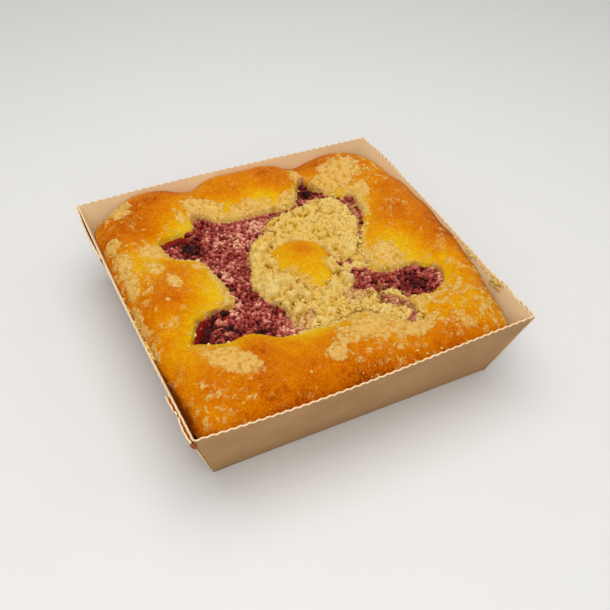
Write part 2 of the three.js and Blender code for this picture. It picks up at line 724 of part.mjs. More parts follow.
function makeMesh(name, solid, finish) {
  const geometry = toGeometry(solid);
  geometry.computeVertexNormals();
  const mesh = new THREE.Mesh(geometry, new THREE.MeshStandardMaterial(finish));
  mesh.name = name;
  return mesh;
}

const filling = buildFilling();
const group = new THREE.Group();
group.add(makeMesh('board_tray', buildTray(), FINISHES.board));
group.add(makeMesh('cake', buildCake(), FINISHES.crust));
group.add(makeMesh('fruit_filling', filling, FINISHES.filling));
group.add(makeMesh('crumble_topping', buildCrumble(filling), FINISHES.crumble));

export default group;
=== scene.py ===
"""Looks of a square berry crumble cake, baked and sold in its folded board tray.

The plan is drawn in millimetres and the meshes are in metres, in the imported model's frame: the origin is the
middle of the tray's underside, +Z is up and the front wall faces -Y.
"""

import itertools
import logging
import math
from dataclasses import dataclass, field
from enum import Enum
from typing import Any, Callable, Dict, List, Optional, Sequence, Tuple, Union

import bpy
import numpy as np
from mathutils import Matrix, Vector


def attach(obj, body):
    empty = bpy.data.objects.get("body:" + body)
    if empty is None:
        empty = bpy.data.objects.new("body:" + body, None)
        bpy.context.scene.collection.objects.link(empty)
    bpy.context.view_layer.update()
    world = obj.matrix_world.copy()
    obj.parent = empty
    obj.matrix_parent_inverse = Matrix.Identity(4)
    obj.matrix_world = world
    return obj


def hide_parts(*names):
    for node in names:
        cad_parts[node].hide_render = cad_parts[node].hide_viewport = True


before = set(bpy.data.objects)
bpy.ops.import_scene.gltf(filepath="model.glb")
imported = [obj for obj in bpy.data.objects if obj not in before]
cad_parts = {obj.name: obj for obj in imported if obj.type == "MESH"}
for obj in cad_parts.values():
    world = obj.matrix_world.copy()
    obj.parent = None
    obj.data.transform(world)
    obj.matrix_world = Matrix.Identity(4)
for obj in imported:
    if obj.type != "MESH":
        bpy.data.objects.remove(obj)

Array = np.ndarray
Point = Tuple[float, float]
Colour = Tuple[float, float, float, float]
Field = Callable[[Array, Array], Array]

MM = 0.001
LOG = logging.getLogger("crumble_cake")


# Small sums


def paint(red: float, green: float, blue: float) -> Colour:
    """A colour from its screen values, 0 to 255, as the linear light that shaders work in.

    Args:
        red: Screen value of red.
        green: Screen value of green.
        blue: Screen value of blue.

    Returns:
        Linear red, green, blue and an alpha of 1.
    """
    screen = [value / 255 for value in (red, green, blue)]
    linear = [v / 12.92 if v <= 0.04045 else ((v + 0.055) / 1.055) ** 2.4 for v in screen]
    return (linear[0], linear[1], linear[2], 1.0)


def ease(low: float, high: float, value: Array) -> Array:
    """A smooth step from 0 at low to 1 at high.

    Args:
        low: Value where the step starts.
        high: Value where it ends. It may be below low, for a step down.
        value: Numbers to step.

    Returns:
        The step for each number.
    """
    share = np.clip((value - low) / (high - low), 0, 1)
    return share * share * (3 - 2 * share)


def blended_least(first: Array, second: Array, blend: float) -> Array:
    """The lesser of two fields, with a rounded join.

    Args:
        first: One field.
        second: The other field.
        blend: Difference within which they round into each other.

    Returns:
        The joined field.
    """
    near = np.maximum(blend - np.abs(first - second), 0) / blend
    return np.minimum(first, second) - near * near * blend / 4


def blended_most(first: Array, second: Array, blend: float) -> Array:
    """The greater of two fields, with a rounded join, as blended_least gives the lesser."""
    return -blended_least(-first, -second, blend)


class Grain:
    """Repeatable noise over the plan or in space."""

    SIDE = 48

    def __init__(self, seed: int) -> None:
        """Draws the lattice that the noise comes from.

        Args:
            seed: Seed of the draw.
        """
        draw = np.random.default_rng(seed)
        gradients = draw.normal(size=(self.SIDE, self.SIDE, self.SIDE, 3))
        self.gradients = gradients / np.linalg.norm(gradients, axis=-1, keepdims=True)
        self.points = draw.random((self.SIDE, self.SIDE, 3))

    def smooth(self, size: float, x: Array, y: Array, z: Union[Array, float] = 0.0) -> Array:
        """Rolling noise from about -1 to 1.

        Args:
            size: Distance between its bumps.
            x: First coordinates.
            y: Second coordinates.
            z: Third coordinates.

        Returns:
            The noise at each point.
        """
        place = np.stack(np.broadcast_arrays(x, y, z), -1) / size
        cell = np.floor(place).astype(int)
        part = place - cell
        fade = part ** 3 * (part * (part * 6 - 15) + 10)
        total = np.zeros(place.shape[:-1])
        for corner in itertools.product((0, 1), repeat=3):
            index = (cell + corner) % self.SIDE
            gradient = self.gradients[index[..., 0], index[..., 1], index[..., 2]]
            weight = np.prod(np.where(corner, fade, 1 - fade), -1)
            total += weight * np.sum(gradient * (part - corner), -1)
        return total * 1.7

    def rough(self, size: float, x: Array, y: Array, z: Union[Array, float] = 0.0, octaves: int = 3) -> Array:
        """Noise with finer and finer layers.

        Args:
            size: Distance between the largest bumps.
            x: First coordinates.
            y: Second coordinates.
            z: Third coordinates.
            octaves: Number of layers, each half as large and half as strong.

        Returns:
            The noise at each point, from about -1 to 1.
        """
        layers = [self.smooth(size / 2 ** k, x + 7.3 * k, y - 4.1 * k, z) / 2 ** k for k in range(octaves)]
        return sum(layers) / 1.4

    def crumbs(self, size: float, x: Array, y: Array) -> Tuple[Array, Array]:
        """Packed crumbs seen from above: long broken lumps, each with its own slant, and creases between.

        Args:
            size: Distance between them.
            x: First coordinates.
            y: Second coordinates.

        Returns:
            Height from 0 in the creases to about 1 on the highest, and each crumb's own draw from 0 to 1.
        """
        bends = [
            size * (0.34 * self.smooth(0.9 * size, x, y, far) + 0.14 * self.smooth(0.35 * size, x, y, near))
            for far, near in ((1.0, 2.0), (9.0, 3.0))
        ]
        place = np.stack([x + bends[0], y + bends[1]], -1) / size
        cell = np.floor(place).astype(int)
        highest = np.zeros(x.shape)
        own = np.full(x.shape, 0.5)
        for step in itertools.product((-1, 0, 1), repeat=2):
            index = (cell + step) % self.SIDE
            drawn = self.points[index[..., 0], index[..., 1]]
            from_middle = place - (cell + step + drawn[..., :2])
            turn = 40 * drawn[..., 2]
            along = from_middle[..., 0] * np.cos(turn) + from_middle[..., 1] * np.sin(turn)
            across = from_middle[..., 1] * np.cos(turn) - from_middle[..., 0] * np.sin(turn)
            away = (0.8 * along) ** 2 + (1.2 * across) ** 2
            draw = (drawn[..., 2] * 7.7) % 1
            round_top = 1 - (away / (0.66 + 0.3 * drawn[..., 2]) ** 2) ** 1.3
            dome = (0.5 + 0.5 * draw) * round_top + 0.55 * across
            own = np.where(dome > highest, draw, own)
            highest = np.maximum(highest, dome)
        return highest, own


GRAIN = Grain(7)


# The plan: places and heights, in millimetres


@dataclass(frozen=True)
class Stretch:
    """A stretch of the plan that tapers from its root to its tip."""

    root: Point
    tip: Point
    wide: float
    narrow: float
    level: float = 1.0

    def distance(self, x: Array, y: Array) -> Array:
        """Distance from its outline, negative inside.

        Args:
            x: Coordinates along the front wall.
            y: Coordinates towards the back.

        Returns:
            Distance of each point.
        """
        run = (self.tip[0] - self.root[0], self.tip[1] - self.root[1])
        length = max(run[0] ** 2 + run[1] ** 2, 1e-6)
        share = np.clip(((x - self.root[0]) * run[0] + (y - self.root[1]) * run[1]) / length, 0, 1)
        away = np.hypot(x - self.root[0] - share * run[0], y - self.root[1] - share * run[1])
        return away - (self.wide + share * (self.narrow - self.wide))


@dataclass(frozen=True)
class Spot:
    """A round place in the plan with a strength that fades outwards."""

    at: Point
    rise: float
    spread: float

    def share(self, x: Array, y: Array) -> Array:
        """Its strength at each point: rise in its middle, fading to 0.

        Args:
            x: Coordinates along the front wall.
            y: Coordinates towards the back.

        Returns:
            Strength of each point.
        """
        away = ((x - self.at[0]) ** 2 + (y - self.at[1]) ** 2) / self.spread ** 2
        return self.rise * np.exp(-away)


def spots(*rows: Tuple[float, float, float, float]) -> Tuple[Spot, ...]:
    """Spots from rows of place along and back, rise and spread."""
    return tuple(Spot((along, back), rise, spread) for along, back, rise, spread in rows)


class PatchKind(Enum):
    """How crumbs lie on the crust."""

    SMEARED = "smeared"
    CRUMBLY = "crumbly"


@dataclass(frozen=True)
class Patch:
    """A long patch of crumbs baked onto the crust."""

    at: Point
    size: Point
    turn: float
    kind: PatchKind = PatchKind.CRUMBLY

    def inside(self, x: Array, y: Array) -> Array:
        """How far inside it a point is: 1 in its middle, 0 on its outline, and less outside.

        Args:
            x: Coordinates along the front wall.
            y: Coordinates towards the back.

        Returns:
            Share for each point.
        """
        cos = math.cos(math.radians(self.turn))
        sin = math.sin(math.radians(self.turn))
        along = ((x - self.at[0]) * cos + (y - self.at[1]) * sin) / self.size[0]
        across = ((y - self.at[1]) * cos - (x - self.at[0]) * sin) / self.size[1]
        return 1 - np.hypot(along, across)


def total(spots: Sequence[Spot], x: Array, y: Array) -> Array:
    """The strengths of several spots together."""
    return sum(spot.share(x, y) for spot in spots)


@dataclass(frozen=True)
class Wall:
    """How far a wall of the tray bulges at its rim: over its length, and more at one end."""

    bulge: float
    lean: float


@dataclass(frozen=True)
class TrayPlan:
    """Sizes of the board tray. Walls run counter-clockwise from the front one."""

    height: float = 40.0
    base_half: float = 69.1
    board: float = 0.7
    waves: int = 42
    wave_rise: float = 0.34
    rim: Tuple[Point, ...] = ((-79.7, -80.0), (79.4, -79.3), (81.4, 78.6), (-80.9, 80.6))
    walls: Tuple[Wall, ...] = (Wall(2.2, -0.5), Wall(1.3, 0.4), Wall(1.4, 0.4), Wall(0.9, 0.0))

    def ends(self, index: int, share: Array) -> Tuple[Array, Array]:
        """The two corners of a wall's outer face.

        Args:
            index: Which wall.
            share: Share of the tray's height.

        Returns:
            Both corners at each height, as arrays that end in x and y.
        """
        corners = []
        for corner in (self.rim[index], self.rim[(index + 1) % 4]):
            foot = np.sign(corner) * self.base_half
            corners.append(foot + np.asarray(share)[..., None] * (np.asarray(corner) - foot))
        return corners[0], corners[1]

    def normal(self, index: int) -> Array:
        """The direction that a wall faces, level with the floor."""
        return np.array(((0.0, -1.0), (1.0, 0.0), (0.0, 1.0), (-1.0, 0.0))[index])

    def push(self, index: int, along: Array, share: Array) -> Array:
        """How far a wall bulges outwards.

        Args:
            index: Which wall.
            along: Share of the way along it.
            share: Share of the tray's height.

        Returns:
            Distance out of the flat wall.
        """
        wall = self.walls[index]
        return share * (wall.bulge * np.sin(np.pi * along) - wall.lean * np.sin(2 * np.pi * along))

    def point(self, index: int, along: Array, height: Array, outside: Array) -> Array:
        """Points on a wall.

        Args:
            index: Which wall.
            along: Share of the way along it.
            height: Height over the floor.
            outside: Distance out of its outer face.

        Returns:
            Coordinates in the plan.
        """
        share = np.asarray(height) / self.height
        start, end = self.ends(index, share)
        line = start + np.asarray(along)[..., None] * (end - start)
        out = self.push(index, along, share) + outside
        return line + out[..., None] * self.normal(index)

    def distance(self, x: Array, y: Array, height: Array, clear: float) -> Array:
        """Distance from the inside of the tray, negative inside.

        Args:
            x: Coordinates along the front wall.
            y: Coordinates towards the back.
            height: Height over the floor.
            clear: Distance to keep from the outer faces.

        Returns:
            Distance of each point.
        """
        blend = 7.0
        found = None
        share = height / self.height
        for index in range(4):
            start, end = self.ends(index, share)
            run = end - start
            length = np.hypot(run[..., 0], run[..., 1])
            gone = (x - start[..., 0], y - start[..., 1])
            along = np.clip((gone[0] * run[..., 0] + gone[1] * run[..., 1]) / length ** 2, 0, 1)
            outward = (gone[0] * run[..., 1] - gone[1] * run[..., 0]) / length
            one = outward - self.push(index, along, share) + clear
            found = one if found is None else blended_most(found, one, blend)
        return found


TRAY = TrayPlan()


@dataclass(frozen=True)
class CakePlan:
    """Sizes and places of the cake, its filling and its crumble."""

    gap: float = 0.3
    centre: Point = (5.5, -2.2)
    crown: float = 41.6
    wall_fall: float = 6.6
    wall_reach: float = 5.0
    wall_curve: float = 1.4
    shoulder_fall: float = 5.8
    shoulder_reach: float = 7.0
    corner_blend: float = 7.0
    opening_blend: float = 7.0
    pocket_floor: float = 27.0
    knob: Point = (13.5, 18.0)
    knob_taper: float = 0.012
    knob_top: float = 40.6
    knob_fall: float = 4.2
    filling_level: float = 34.0
    heap_level: float = 35.6
    patch_rise: float = 0.36
    opening: Tuple[Stretch, ...] = (
        Stretch((-1, 7), (-1, -9), 33.5, 33.5),
        Stretch((-27, 18), (-28, 12), 9.5, 7.0),
        Stretch((-26, 30), (-41, 32), 14.0, 9.5),
        Stretch((-44, 36), (-50.5, 40), 5, 1.5),
        Stretch((-27, 38), (-28, 47), 9, 4.5),
        Stretch((-18, 32), (15, 31), 10, 9),
        Stretch((-20, -30), (0, -20), 12, 20),
        Stretch((-30, -25), (-47, -24.3), 8.5, 8.6),
        Stretch((-50, -25), (-60, -28.5), 7.0, 1.3),
        Stretch((31, 37), (32.5, 56), 12, 3),
        Stretch((36, 28), (43, 27), 12, 8),
        Stretch((44, 32), (51, 36.5), 5, 1.5),
        Stretch((31, 11), (40, 18), 10.5, 6.5),
        Stretch((28, -28), (48, -33), 9, 9.4),
        Stretch((50, -32.5), (55, -33), 8.6, 6.5),
        Stretch((27, -38), (34.5, -54), 11, 4),
    )
    pulled_corners: Tuple[Point, ...] = ((127, 99), (50, 100), (-15, 87.6))
    mounds: Tuple[Spot, ...] = spots(
        (-61, -2, 1.4, 20), (-44, 66, 2.0, 16), (-26, 78, -4.4, 9), (12, 62, 1.8, 17),
        (36, 71, -4.5, 8), (58, 60, 1.4, 15), (64, 12, 1.8, 20), (-14, -60, 2.2, 20),
        (-66, -66, -0.8, 14), (52, -62, 0.6, 18), (-54, 84, 2.6, 13), (-32, 84, 1.8, 12),
        (-8, 84, 3.0, 13), (16, 84, 2.4, 13), (84, 32, 3.0, 13), (84, 9, 3.4, 13), (84, -15, 3.7, 13),
        (84, -37, 3.0, 12),
    )
    hollows: Tuple[Spot, ...] = spots(
        (-38, 33.5, 3.6, 6), (-50, 40, 1.0, 4), (-53, -24, 1.5, 7), (-29, -30, 2.4, 3.5),
        (33, 53, 3.0, 6), (48, -33, 1.6, 8),
    )
    heap_mounds: Tuple[Spot, ...] = spots(
        (12, 30, 1.8, 16), (32, 22, 1.4, 14), (8, -36, 1.2, 12), (24, -28, -1.0, 8), (-9, -11, 2.0, 5),
        (-9, -1, 1.4, 4), (15, -9, 1.4, 4.5), (20, 1, 1.2, 4),
    )
    dry: Tuple[Stretch, ...] = (
        Stretch((3, 8), (1, -8), 20, 24),
        Stretch((8, 27), (33, 28), 9.5, 15),
        Stretch((34, 10), (38, 6), 14, 12),
        Stretch((38, -8), (40, -14), 8, 7),
        Stretch((24, 4), (29, -9), 9, 5),
        Stretch((-6, -34), (28, -40), 10, 10),
        Stretch((28, -44), (33, -54), 8, 5),
    )
    soaked: Tuple[Stretch, ...] = (
        Stretch((-13, 35), (-9, 29), 6, 4, 0.8),
        Stretch((-10, 37), (4, 36.5), 4.5, 4, 0.62),
        Stretch((23, 42.5), (30, 40), 3.5, 3.5, 0.4),
        Stretch((-4, 35), (-2, 26), 4, 3, 0.4),
        Stretch((-4, 34), (-3, 32), 1.6, 1.2, 0.95),
        Stretch((46, 33), (46.5, 20), 3.5, 2.6, 0.62),
        Stretch((44, 14), (38, 4), 1.4, 0.9, 0.75),
        Stretch((19, -9.5), (25, -9), 1.7, 1.0, 0.95),
        Stretch((18.5, -4), (20, -5), 1.0, 0.8, 0.7),
        Stretch((25, -16), (30, -30), 3, 5, 0.84),
        Stretch((14, -31), (24, -30), 4, 4, 0.5),
        Stretch((12, -38), (18, -36), 3, 2, 0.3),
        Stretch((28, -38), (36, -46), 4, 4, 0.62),
        Stretch((31.5, -55), (37.5, -51), 1.6, 1.1, 0.95),
        Stretch((-18, -38), (-8, -34), 5, 3.5, 0.5),
    )
    clods: Tuple[Spot, ...] = spots(
        (-14.5, -8, 4.6, 7.4), (-9, -13, 4.0, 4.6), (-5, -18.5, 3.0, 3.4), (-18, -14, 2.6, 3.8),
        (-10, 17, 4.2, 5.4), (-14, 11, 2.4, 3.4), (-17, 7.5, 1.8, 1.7), (-8, 4, 2.2, 3.2),
        (-19, -20, 2.2, 3.0), (-16, -25, 2.6, 3.8), (-10, -20, 3.0, 3.4), (-12, -30, 2.2, 3.2),
        (-4, -24, 2.4, 3.0), (8, -25, 3.8, 4.6), (3, -30, 2.4, 3.4), (15, -9.5, 3.6, 4.6),
        (20, 2, 2.6, 3.2), (18.5, -19, 3.6, 4.2), (22, -26, 2.2, 3.0), (25, -31, 2.0, 2.6),
        (26, -5, 2.2, 3.2), (24, -37, 2.0, 2.8), (35.5, -8, 3.0, 4.6), (40, -14, 3.0, 4.4),
        (-3, 23, 2.2, 4.2), (9, 24, 1.8, 3.4), (22, 14, 1.8, 3.4), (33, 30, 1.8, 3.6),
        (20, 33, 2.0, 3.6), (4, 34, 1.8, 3.4), (30, 40, 2.0, 3.4), (1, -37, 1.8, 3.2),
        (12, -38, 1.6, 3.4),
    )
    coarse_crumble: Tuple[Spot, ...] = spots(
        (14, 28, 1.3, 22), (34, 14, 0.8, 14), (-10, 28, 0.7, 10),
    )
    coarse_filling: Tuple[Spot, ...] = spots(
        (-34, 30, 1.4, 17), (-26, 6, 0.7, 9), (36, 50, 0.5, 8), (-22, -34, 0.2, 8),
    )
    knob_crumbs: Tuple[Spot, ...] = spots(
        (-5, -7, 1.0, 4.6), (-1, -15, 1.0, 4.2), (4, -21, 0.6, 3.5), (16, -8, 1.0, 4.5),
        (-7, 5, 0.5, 3.5),
    )
    knob_covers: Tuple[Spot, ...] = spots(
        (15.5, -8.5, 1.2, 4.2), (-10, -12, 1.0, 3.5),
    )
    # Dark band along the left and front walls: partly burnt crust, partly painted shade of the gap at the
    # wall.
    scorched_and_shaded: Tuple[Spot, ...] = spots(
        (-78, -32, 0.5, 12), (-78, -50, 0.9, 14), (-78, -66, 1.1, 14), (-56, -80, 0.7, 14),
        (-34, -80, 0.8, 16),
    )
    # Paler crumbs where the rise is positive; the negative spots, in the hollows and along the lips, are
    # painted shade.
    pale_crumbs_and_hollow_shade: Tuple[Spot, ...] = spots(
        (-19, 29, 1.0, 6), (-4, 34.5, 1.3, 5), (-13, 24, 0.8, 4), (-25, 10, 0.6, 3), (-31, 36, 0.4, 4),
        (-46, 33, 0.8, 3.5), (-17, -38, 0.9, 5), (-26, -27, 1.2, 1.6), (59, -36, 0.2, 4),
        (28, -18, 0.3, 5), (-38.5, 33, -1.9, 6), (33, 53, -1.2, 6), (48, -34, -0.6, 6),
        (-30, -33, -2.0, 3), (-44, -25, -0.7, 10), (47, -32, -0.4, 10), (-30, 46, -0.4, 6),
        (33, 52, -0.4, 7), (-30, -8, -0.25, 8),
    )
    patches: Tuple[Patch, ...] = (
        Patch((-64, 67), (10, 6.5), 60),
        Patch((-74, 43), (6, 4), 80),
        Patch((-57, 31), (9, 8), 10, PatchKind.SMEARED),
        Patch((-61, 18), (6, 4), 60, PatchKind.SMEARED),
        Patch((-56, 5), (6, 3.5), 100, PatchKind.SMEARED),
        Patch((-73, 27), (11, 5), 92),
        Patch((-74, 10), (8, 4), 85),
        Patch((-77.5, -8), (13, 2.4), 90),
        Patch((-77.5, -28), (6, 2), 90),
        Patch((-51, -47), (18, 8), -50, PatchKind.SMEARED),
        Patch((-24, 54), (16, 7), -30),
        Patch((-4, 46), (14, 5), -6),
        Patch((-37, 52), (5, 2.5), 85, PatchKind.SMEARED),
        Patch((20, 46), (7, 4), 20),
        Patch((50, 52), (20, 12), 45),
        Patch((56, 36), (9, 6), 60),
        Patch((31, 63), (4, 8), 0),
        Patch((42, -14), (10, 8), -40),
        Patch((50, 22), (6, 3), 70, PatchKind.SMEARED),
        Patch((12, -54), (19, 11), 15),
        Patch((-10, -64), (7, 5), 30),
        Patch((30, -62), (14, 6), 10),
        Patch((44, -48), (12, 4), 5),
        Patch((-42, 14), (4, 3), 0, PatchKind.SMEARED),
    )
    dusting: Tuple[Spot, ...] = spots(
        (-76, 20, 0.4, 24), (-76, -20, 0.25, 16), (-70, 66, 0.3, 14), (60, -62, 0.5, 24),
        (72, -30, 0.25, 18), (-66, -66, 0.34, 18), (12, -76, 0.3, 18), (60, 14, 0.2, 14),
        (62, 44, 0.34, 14), (64, 60, 0.25, 14),
    )
    crumbly_lips: Tuple[Spot, ...] = spots(
        (-24, 49, 0.9, 9), (-10, 44, 1.0, 9), (4, 43, 1.0, 9), (18, 43, 1.0, 8), (25, 50, 0.7, 5),
        (41, 50, 1.0, 9), (52, 38, 0.9, 8), (51, 24, 0.7, 8), (43, 8, 0.6, 8), (36, -10, 1.2, 8),
        (42, -21, 1.0, 7), (-37, 6, 0.9, 9), (-37, -9, 1.0, 9), (-46, 20, 0.8, 6), (-4, -45, 0.9, 9),
        (10, -46, 1.1, 10), (25, -52, 1.1, 9), (42, -47, 0.9, 7), (-16, -44, 0.6, 5),
    )
    stains: Tuple[Spot, ...] = spots(
        (-45, -15, 1.0, 5), (-55, -19, 0.8, 4), (-61, -30, 0.5, 4), (-47, 43, 0.35, 5),
        (-30, 52, 0.7, 6), (60, -32, 0.8, 6), (52, -24, 0.7, 5), (33, 60, 0.9, 4), (-19, -43, 0.9, 5),
        (-38, -17, 0.7, 3),
    )
    browned: Tuple[Spot, ...] = spots(
        (-58, 60, 0.42, 18), (-70, 48, 0.25, 14), (-36, 74, 0.32, 12), (16, 64, 0.42, 14),
        (-8, 64, 0.2, 12), (44, 68, 0.45, 13), (66, 62, 0.2, 14), (70, 30, 0.26, 18),
        (58, 12, 0.24, 12), (70, -8, 0.36, 18), (70, -46, 0.12, 14), (-62, -2, 0.36, 14),
        (-56, 14, 0.2, 9), (-38, -47, 0.36, 8), (-14, -56, 0.1, 13), (-34, -70, 0.36, 18),
        (0, -76, 0.36, 18), (40, -72, 0.3, 18), (-62, -62, 0.26, 18),
    )
    yellowed: Tuple[Spot, ...] = spots(
        (-42, -4, 0.24, 10), (-40, 48, 0.2, 9), (4, 47, 0.24, 12), (52, -14, 0.3, 12), (56, -2, 0.1, 9),
        (-14, -45, 0.24, 8), (52, 30, 0.15, 8), (-64, 24, 0.15, 12), (64, -58, 0.1, 14),
    )

    def opening_distance(self, x: Array, y: Array) -> Array:
        """Distance from the opening between the flaps, negative inside it.

        Args:
            x: Coordinates along the front wall.
            y: Coordinates towards the back.

        Returns:
            Distance of each point.
        """
        found = self.opening[0].distance(x, y)
        for part in self.opening[1:]:
            found = blended_least(found, part.distance(x, y), self.opening_blend)
        return found

    def torn_distance(self, x: Array, y: Array) -> Array:
        """Distance from the opening with the uneven lip that baked dough has.

        Args:
            x: Coordinates along the front wall.
            y: Coordinates towards the back.

        Returns:
            Distance in millimetres, negative inside the opening.
        """
        crumbly = np.clip(self.lip_crumbliness(x, y), 0, 1)
        coarse = (0.5 + 0.5 * crumbly) * GRAIN.rough(6, x, y)
        return self.opening_distance(x, y) + coarse + (0.3 + 0.6 * crumbly) * GRAIN.rough(2.0, x, y, 0.0, 2)

    def lip_crumbliness(self, x: Array, y: Array) -> Array:
        """How crumbly the lip of the opening is."""
        return total(self.crumbly_lips, x, y)

    def mound_rise(self, x: Array, y: Array) -> Array:
        """Highs and lows of the crust."""
        return total(self.mounds, x, y)

    def crust_distance(self, x: Array, y: Array) -> Array:
        """Distance from the crust's outline, negative inside it.

        Args:
            x: Coordinates along the front wall.
            y: Coordinates towards the back.

        Returns:
            Distance of each point.
        """
        level = self.crown + self.mound_rise(x, y) - self.wall_fall
        found = TRAY.distance(x, y, level, TRAY.board + self.gap)
        for bearing, reach in self.pulled_corners:
            turn = math.radians(bearing)
            one = x * math.cos(turn) + y * math.sin(turn) - reach
            found = blended_most(found, one, self.corner_blend)
        return found

    def bare_crust_height(self, x: Array, y: Array) -> Array:
        """Height of the crust without crumbs, as if the opening were closed.

        Args:
            x: Coordinates along the front wall.
            y: Coordinates towards the back.

        Returns:
            Height of each point.
        """
        from_wall = np.maximum(-self.crust_distance(x, y), 0)
        from_opening = np.maximum(self.opening_distance(x, y), 0)
        fall = self.wall_fall * np.exp(-((from_wall / self.wall_reach) ** self.wall_curve))
        shoulder = self.shoulder_fall * np.exp(-from_opening / self.shoulder_reach)
        return self.crown + self.mound_rise(x, y) - fall - shoulder

    def patch_share(self, x: Array, y: Array, kind: PatchKind) -> Array:
        """How thickly the patches of one kind cover a place, from 0 to 1.

        Args:
            x: Coordinates along the front wall.
            y: Coordinates towards the back.
            kind: Which patches count.

        Returns:
            Share for each point.
        """
        inside = np.max([patch.inside(x, y) for patch in self.patches if patch.kind is kind], axis=0)
        ragged = 0.34 * GRAIN.rough(7, x, y, 3.0) + 0.26 * GRAIN.rough(2.6, x, y, 3.0)
        return ease(-0.25, 0.6, inside + ragged)

    def crumb_cover(self, x: Array, y: Array) -> Array:
        """How thickly crumbs are baked onto the crust, from 0 to 1.

        Args:
            x: Coordinates along the front wall.
            y: Coordinates towards the back.

        Returns:
            Share for each point.
        """
        patch = self.patch_share(x, y, PatchKind.CRUMBLY)
        dust = 0.04 + 0.8 * total(self.dusting, x, y)
        lip = 0.9 * np.clip(self.lip_crumbliness(x, y), 0, 1) * ease(6.0, 1.5, self.opening_distance(x, y))
        return np.clip(np.maximum(np.maximum(patch, lip), dust), 0, 1)

    def crumb_share(self, x: Array, y: Array) -> Array:
        """Crumbs that show at a place: above 0 where they cover the crust.

        Args:
            x: Coordinates along the front wall.
            y: Coordinates towards the back.

        Returns:
            Cover over a fine-grained threshold.
        """
        lumps, own = GRAIN.crumbs(2.8, x, y)
        threshold = 0.12 + 0.72 * own + 0.4 * (0.5 - lumps) + 0.2 * GRAIN.rough(5, x, y, 9.0)
        smeared = self.patch_share(x, y, PatchKind.SMEARED) - 0.5 + 0.14 * GRAIN.rough(2.2, x, y, 9.0)
        return np.maximum(self.crumb_cover(x, y) - threshold, 0.6 * smeared)

    def knob_share(self, x: Array, y: Array) -> Array:
        """Distance from the knob's middle, as a share of its reach. The knob narrows to the front.

        Args:
            x: Coordinates along the front wall.
            y: Coordinates towards the back.

        Returns:
            The share, 1 on the rim of the knob.
        """
        along = y - self.centre[1]
        width = self.knob[0] * (1 + self.knob_taper * np.clip(along, -20, 20))
        return np.hypot((x - self.centre[0]) / width, along / self.knob[1])

    def knob_height(self, x: Array, y: Array) -> Array:
        """Height of the knob's dome, which falls away steeply at its rim.

        Args:
            x: Coordinates along the front wall.
            y: Coordinates towards the back.

        Returns:
            Height of each point.
        """
        share = self.knob_share(x, y) + 0.08 * GRAIN.rough(9, x, y, 1.0)
        dome = self.knob_top - self.knob_fall * np.minimum(share, 1.3) ** 2.4
        crumbly = ease(0.3, 0.8, total(self.knob_crumbs, x, y))
        uneven = 0.3 * GRAIN.rough(6, x, y, 1.0) + 1.7 * crumbly * (GRAIN.crumbs(2.6, x, y)[0] - 0.35)
        return dome + uneven - 12 * ease(0.98, 1.25, share)

    def filling_height(self, x: Array, y: Array) -> Array:
        """Height of the soaked filling."""
        return self.filling_level - total(self.hollows, x, y) + 0.7 * GRAIN.rough(8, x, y, 5.0)

    def heap_height(self, x: Array, y: Array) -> Array:
        """Height of the heaped crumble."""
        return self.heap_level + total(self.heap_mounds, x, y) + 1.3 * GRAIN.rough(6, x, y, 2.0)

    def dry_distance(self, x: Array, y: Array) -> Array:
        """Distance from the heap of dry crumble, negative inside it.

        Args:
            x: Coordinates along the front wall.
            y: Coordinates towards the back.

        Returns:
            Distance of each point.
        """
        found = self.dry[0].distance(x, y)
        for part in self.dry[1:]:
            found = blended_least(found, part.distance(x, y), 4.0)
        return found + 1.6 * GRAIN.rough(8, x, y, 6.0)

    def soak(self, x: Array, y: Array) -> Array:
        """How far berry juice has soaked the crumbs, from 0 to 1.

        Args:
            x: Coordinates along the front wall.
            y: Coordinates towards the back.

        Returns:
            Share for each point.
        """
        wet = ease(-2.0, 2.5, self.dry_distance(x, y))
        ragged = 1.5 * GRAIN.rough(4, x, y, 8.0)
        for part in self.soaked:
            wet = np.maximum(wet, part.level * ease(1.5, -1.5, part.distance(x, y) + ragged))
        return wet

    def browning(self, x: Array, y: Array) -> Array:
        """How dark the crust is baked, from 0 to about 1.

        Args:
            x: Coordinates along the front wall.
            y: Coordinates towards the back.

        Returns:
            Share for each point.
        """
        from_wall = np.maximum(-self.crust_distance(x, y), 0)
        from_opening = np.maximum(self.opening_distance(x, y), 0)
        near_opening = 0.27 * np.exp(-from_opening / 6)
        near_wall = 0.24 * np.exp(-from_wall / 4.5) * ease(75, 20, y)
        spots = total(self.browned, x, y) - total(self.yellowed, x, y)
        cloudy = 0.12 * GRAIN.rough(13, x, y, 4.0) + 0.08 * GRAIN.rough(4, x, y, 4.0)
        return 0.4 + spots + near_wall - near_opening + cloudy

    def scorch_and_gap_shade(self, x: Array, y: Array) -> Array:
        """How dark the crust's edge is along the tray, from 0 to 1: partly burnt crust, partly painted shade
        of the gap at the wall.

        Args:
            x: Coordinates along the front wall.
            y: Coordinates towards the back.

        Returns:
            The darkening at each place.
        """
        from_wall = np.maximum(-self.crust_distance(x, y), 0) + 0.6 * GRAIN.rough(3, x, y, 4.0)
        width = 1.2 + 1.6 * ease(-20, -78, y) * ease(-60, -72, x)
        return total(self.scorched_and_shaded, x, y) * np.exp(-np.maximum(from_wall, 0) / width)


PLAN = CakePlan()


def outline_reach(distance: Field, bearings: Array, near: float, far: float) -> Array:
    """How far from the origin a region reaches along each bearing.

    Args:
        distance: The region's distance, negative inside.
        bearings: Bearings in radians.
        near: Reach that is surely inside.
        far: Reach that is surely outside.

    Returns:
        Reach along each bearing.
    """
    radii = np.linspace(near, far, 240)
    x = radii[None] * np.cos(bearings)[:, None]
    y = radii[None] * np.sin(bearings)[:, None]
    found = distance(x, y)
    last = np.argmax(found > 0, axis=1) - 1
    rows = np.arange(len(bearings))
    before = found[rows, last]
    after = found[rows, last + 1]
    return radii[last] + (radii[1] - radii[0]) * before / (before - after)


# Work on meshes


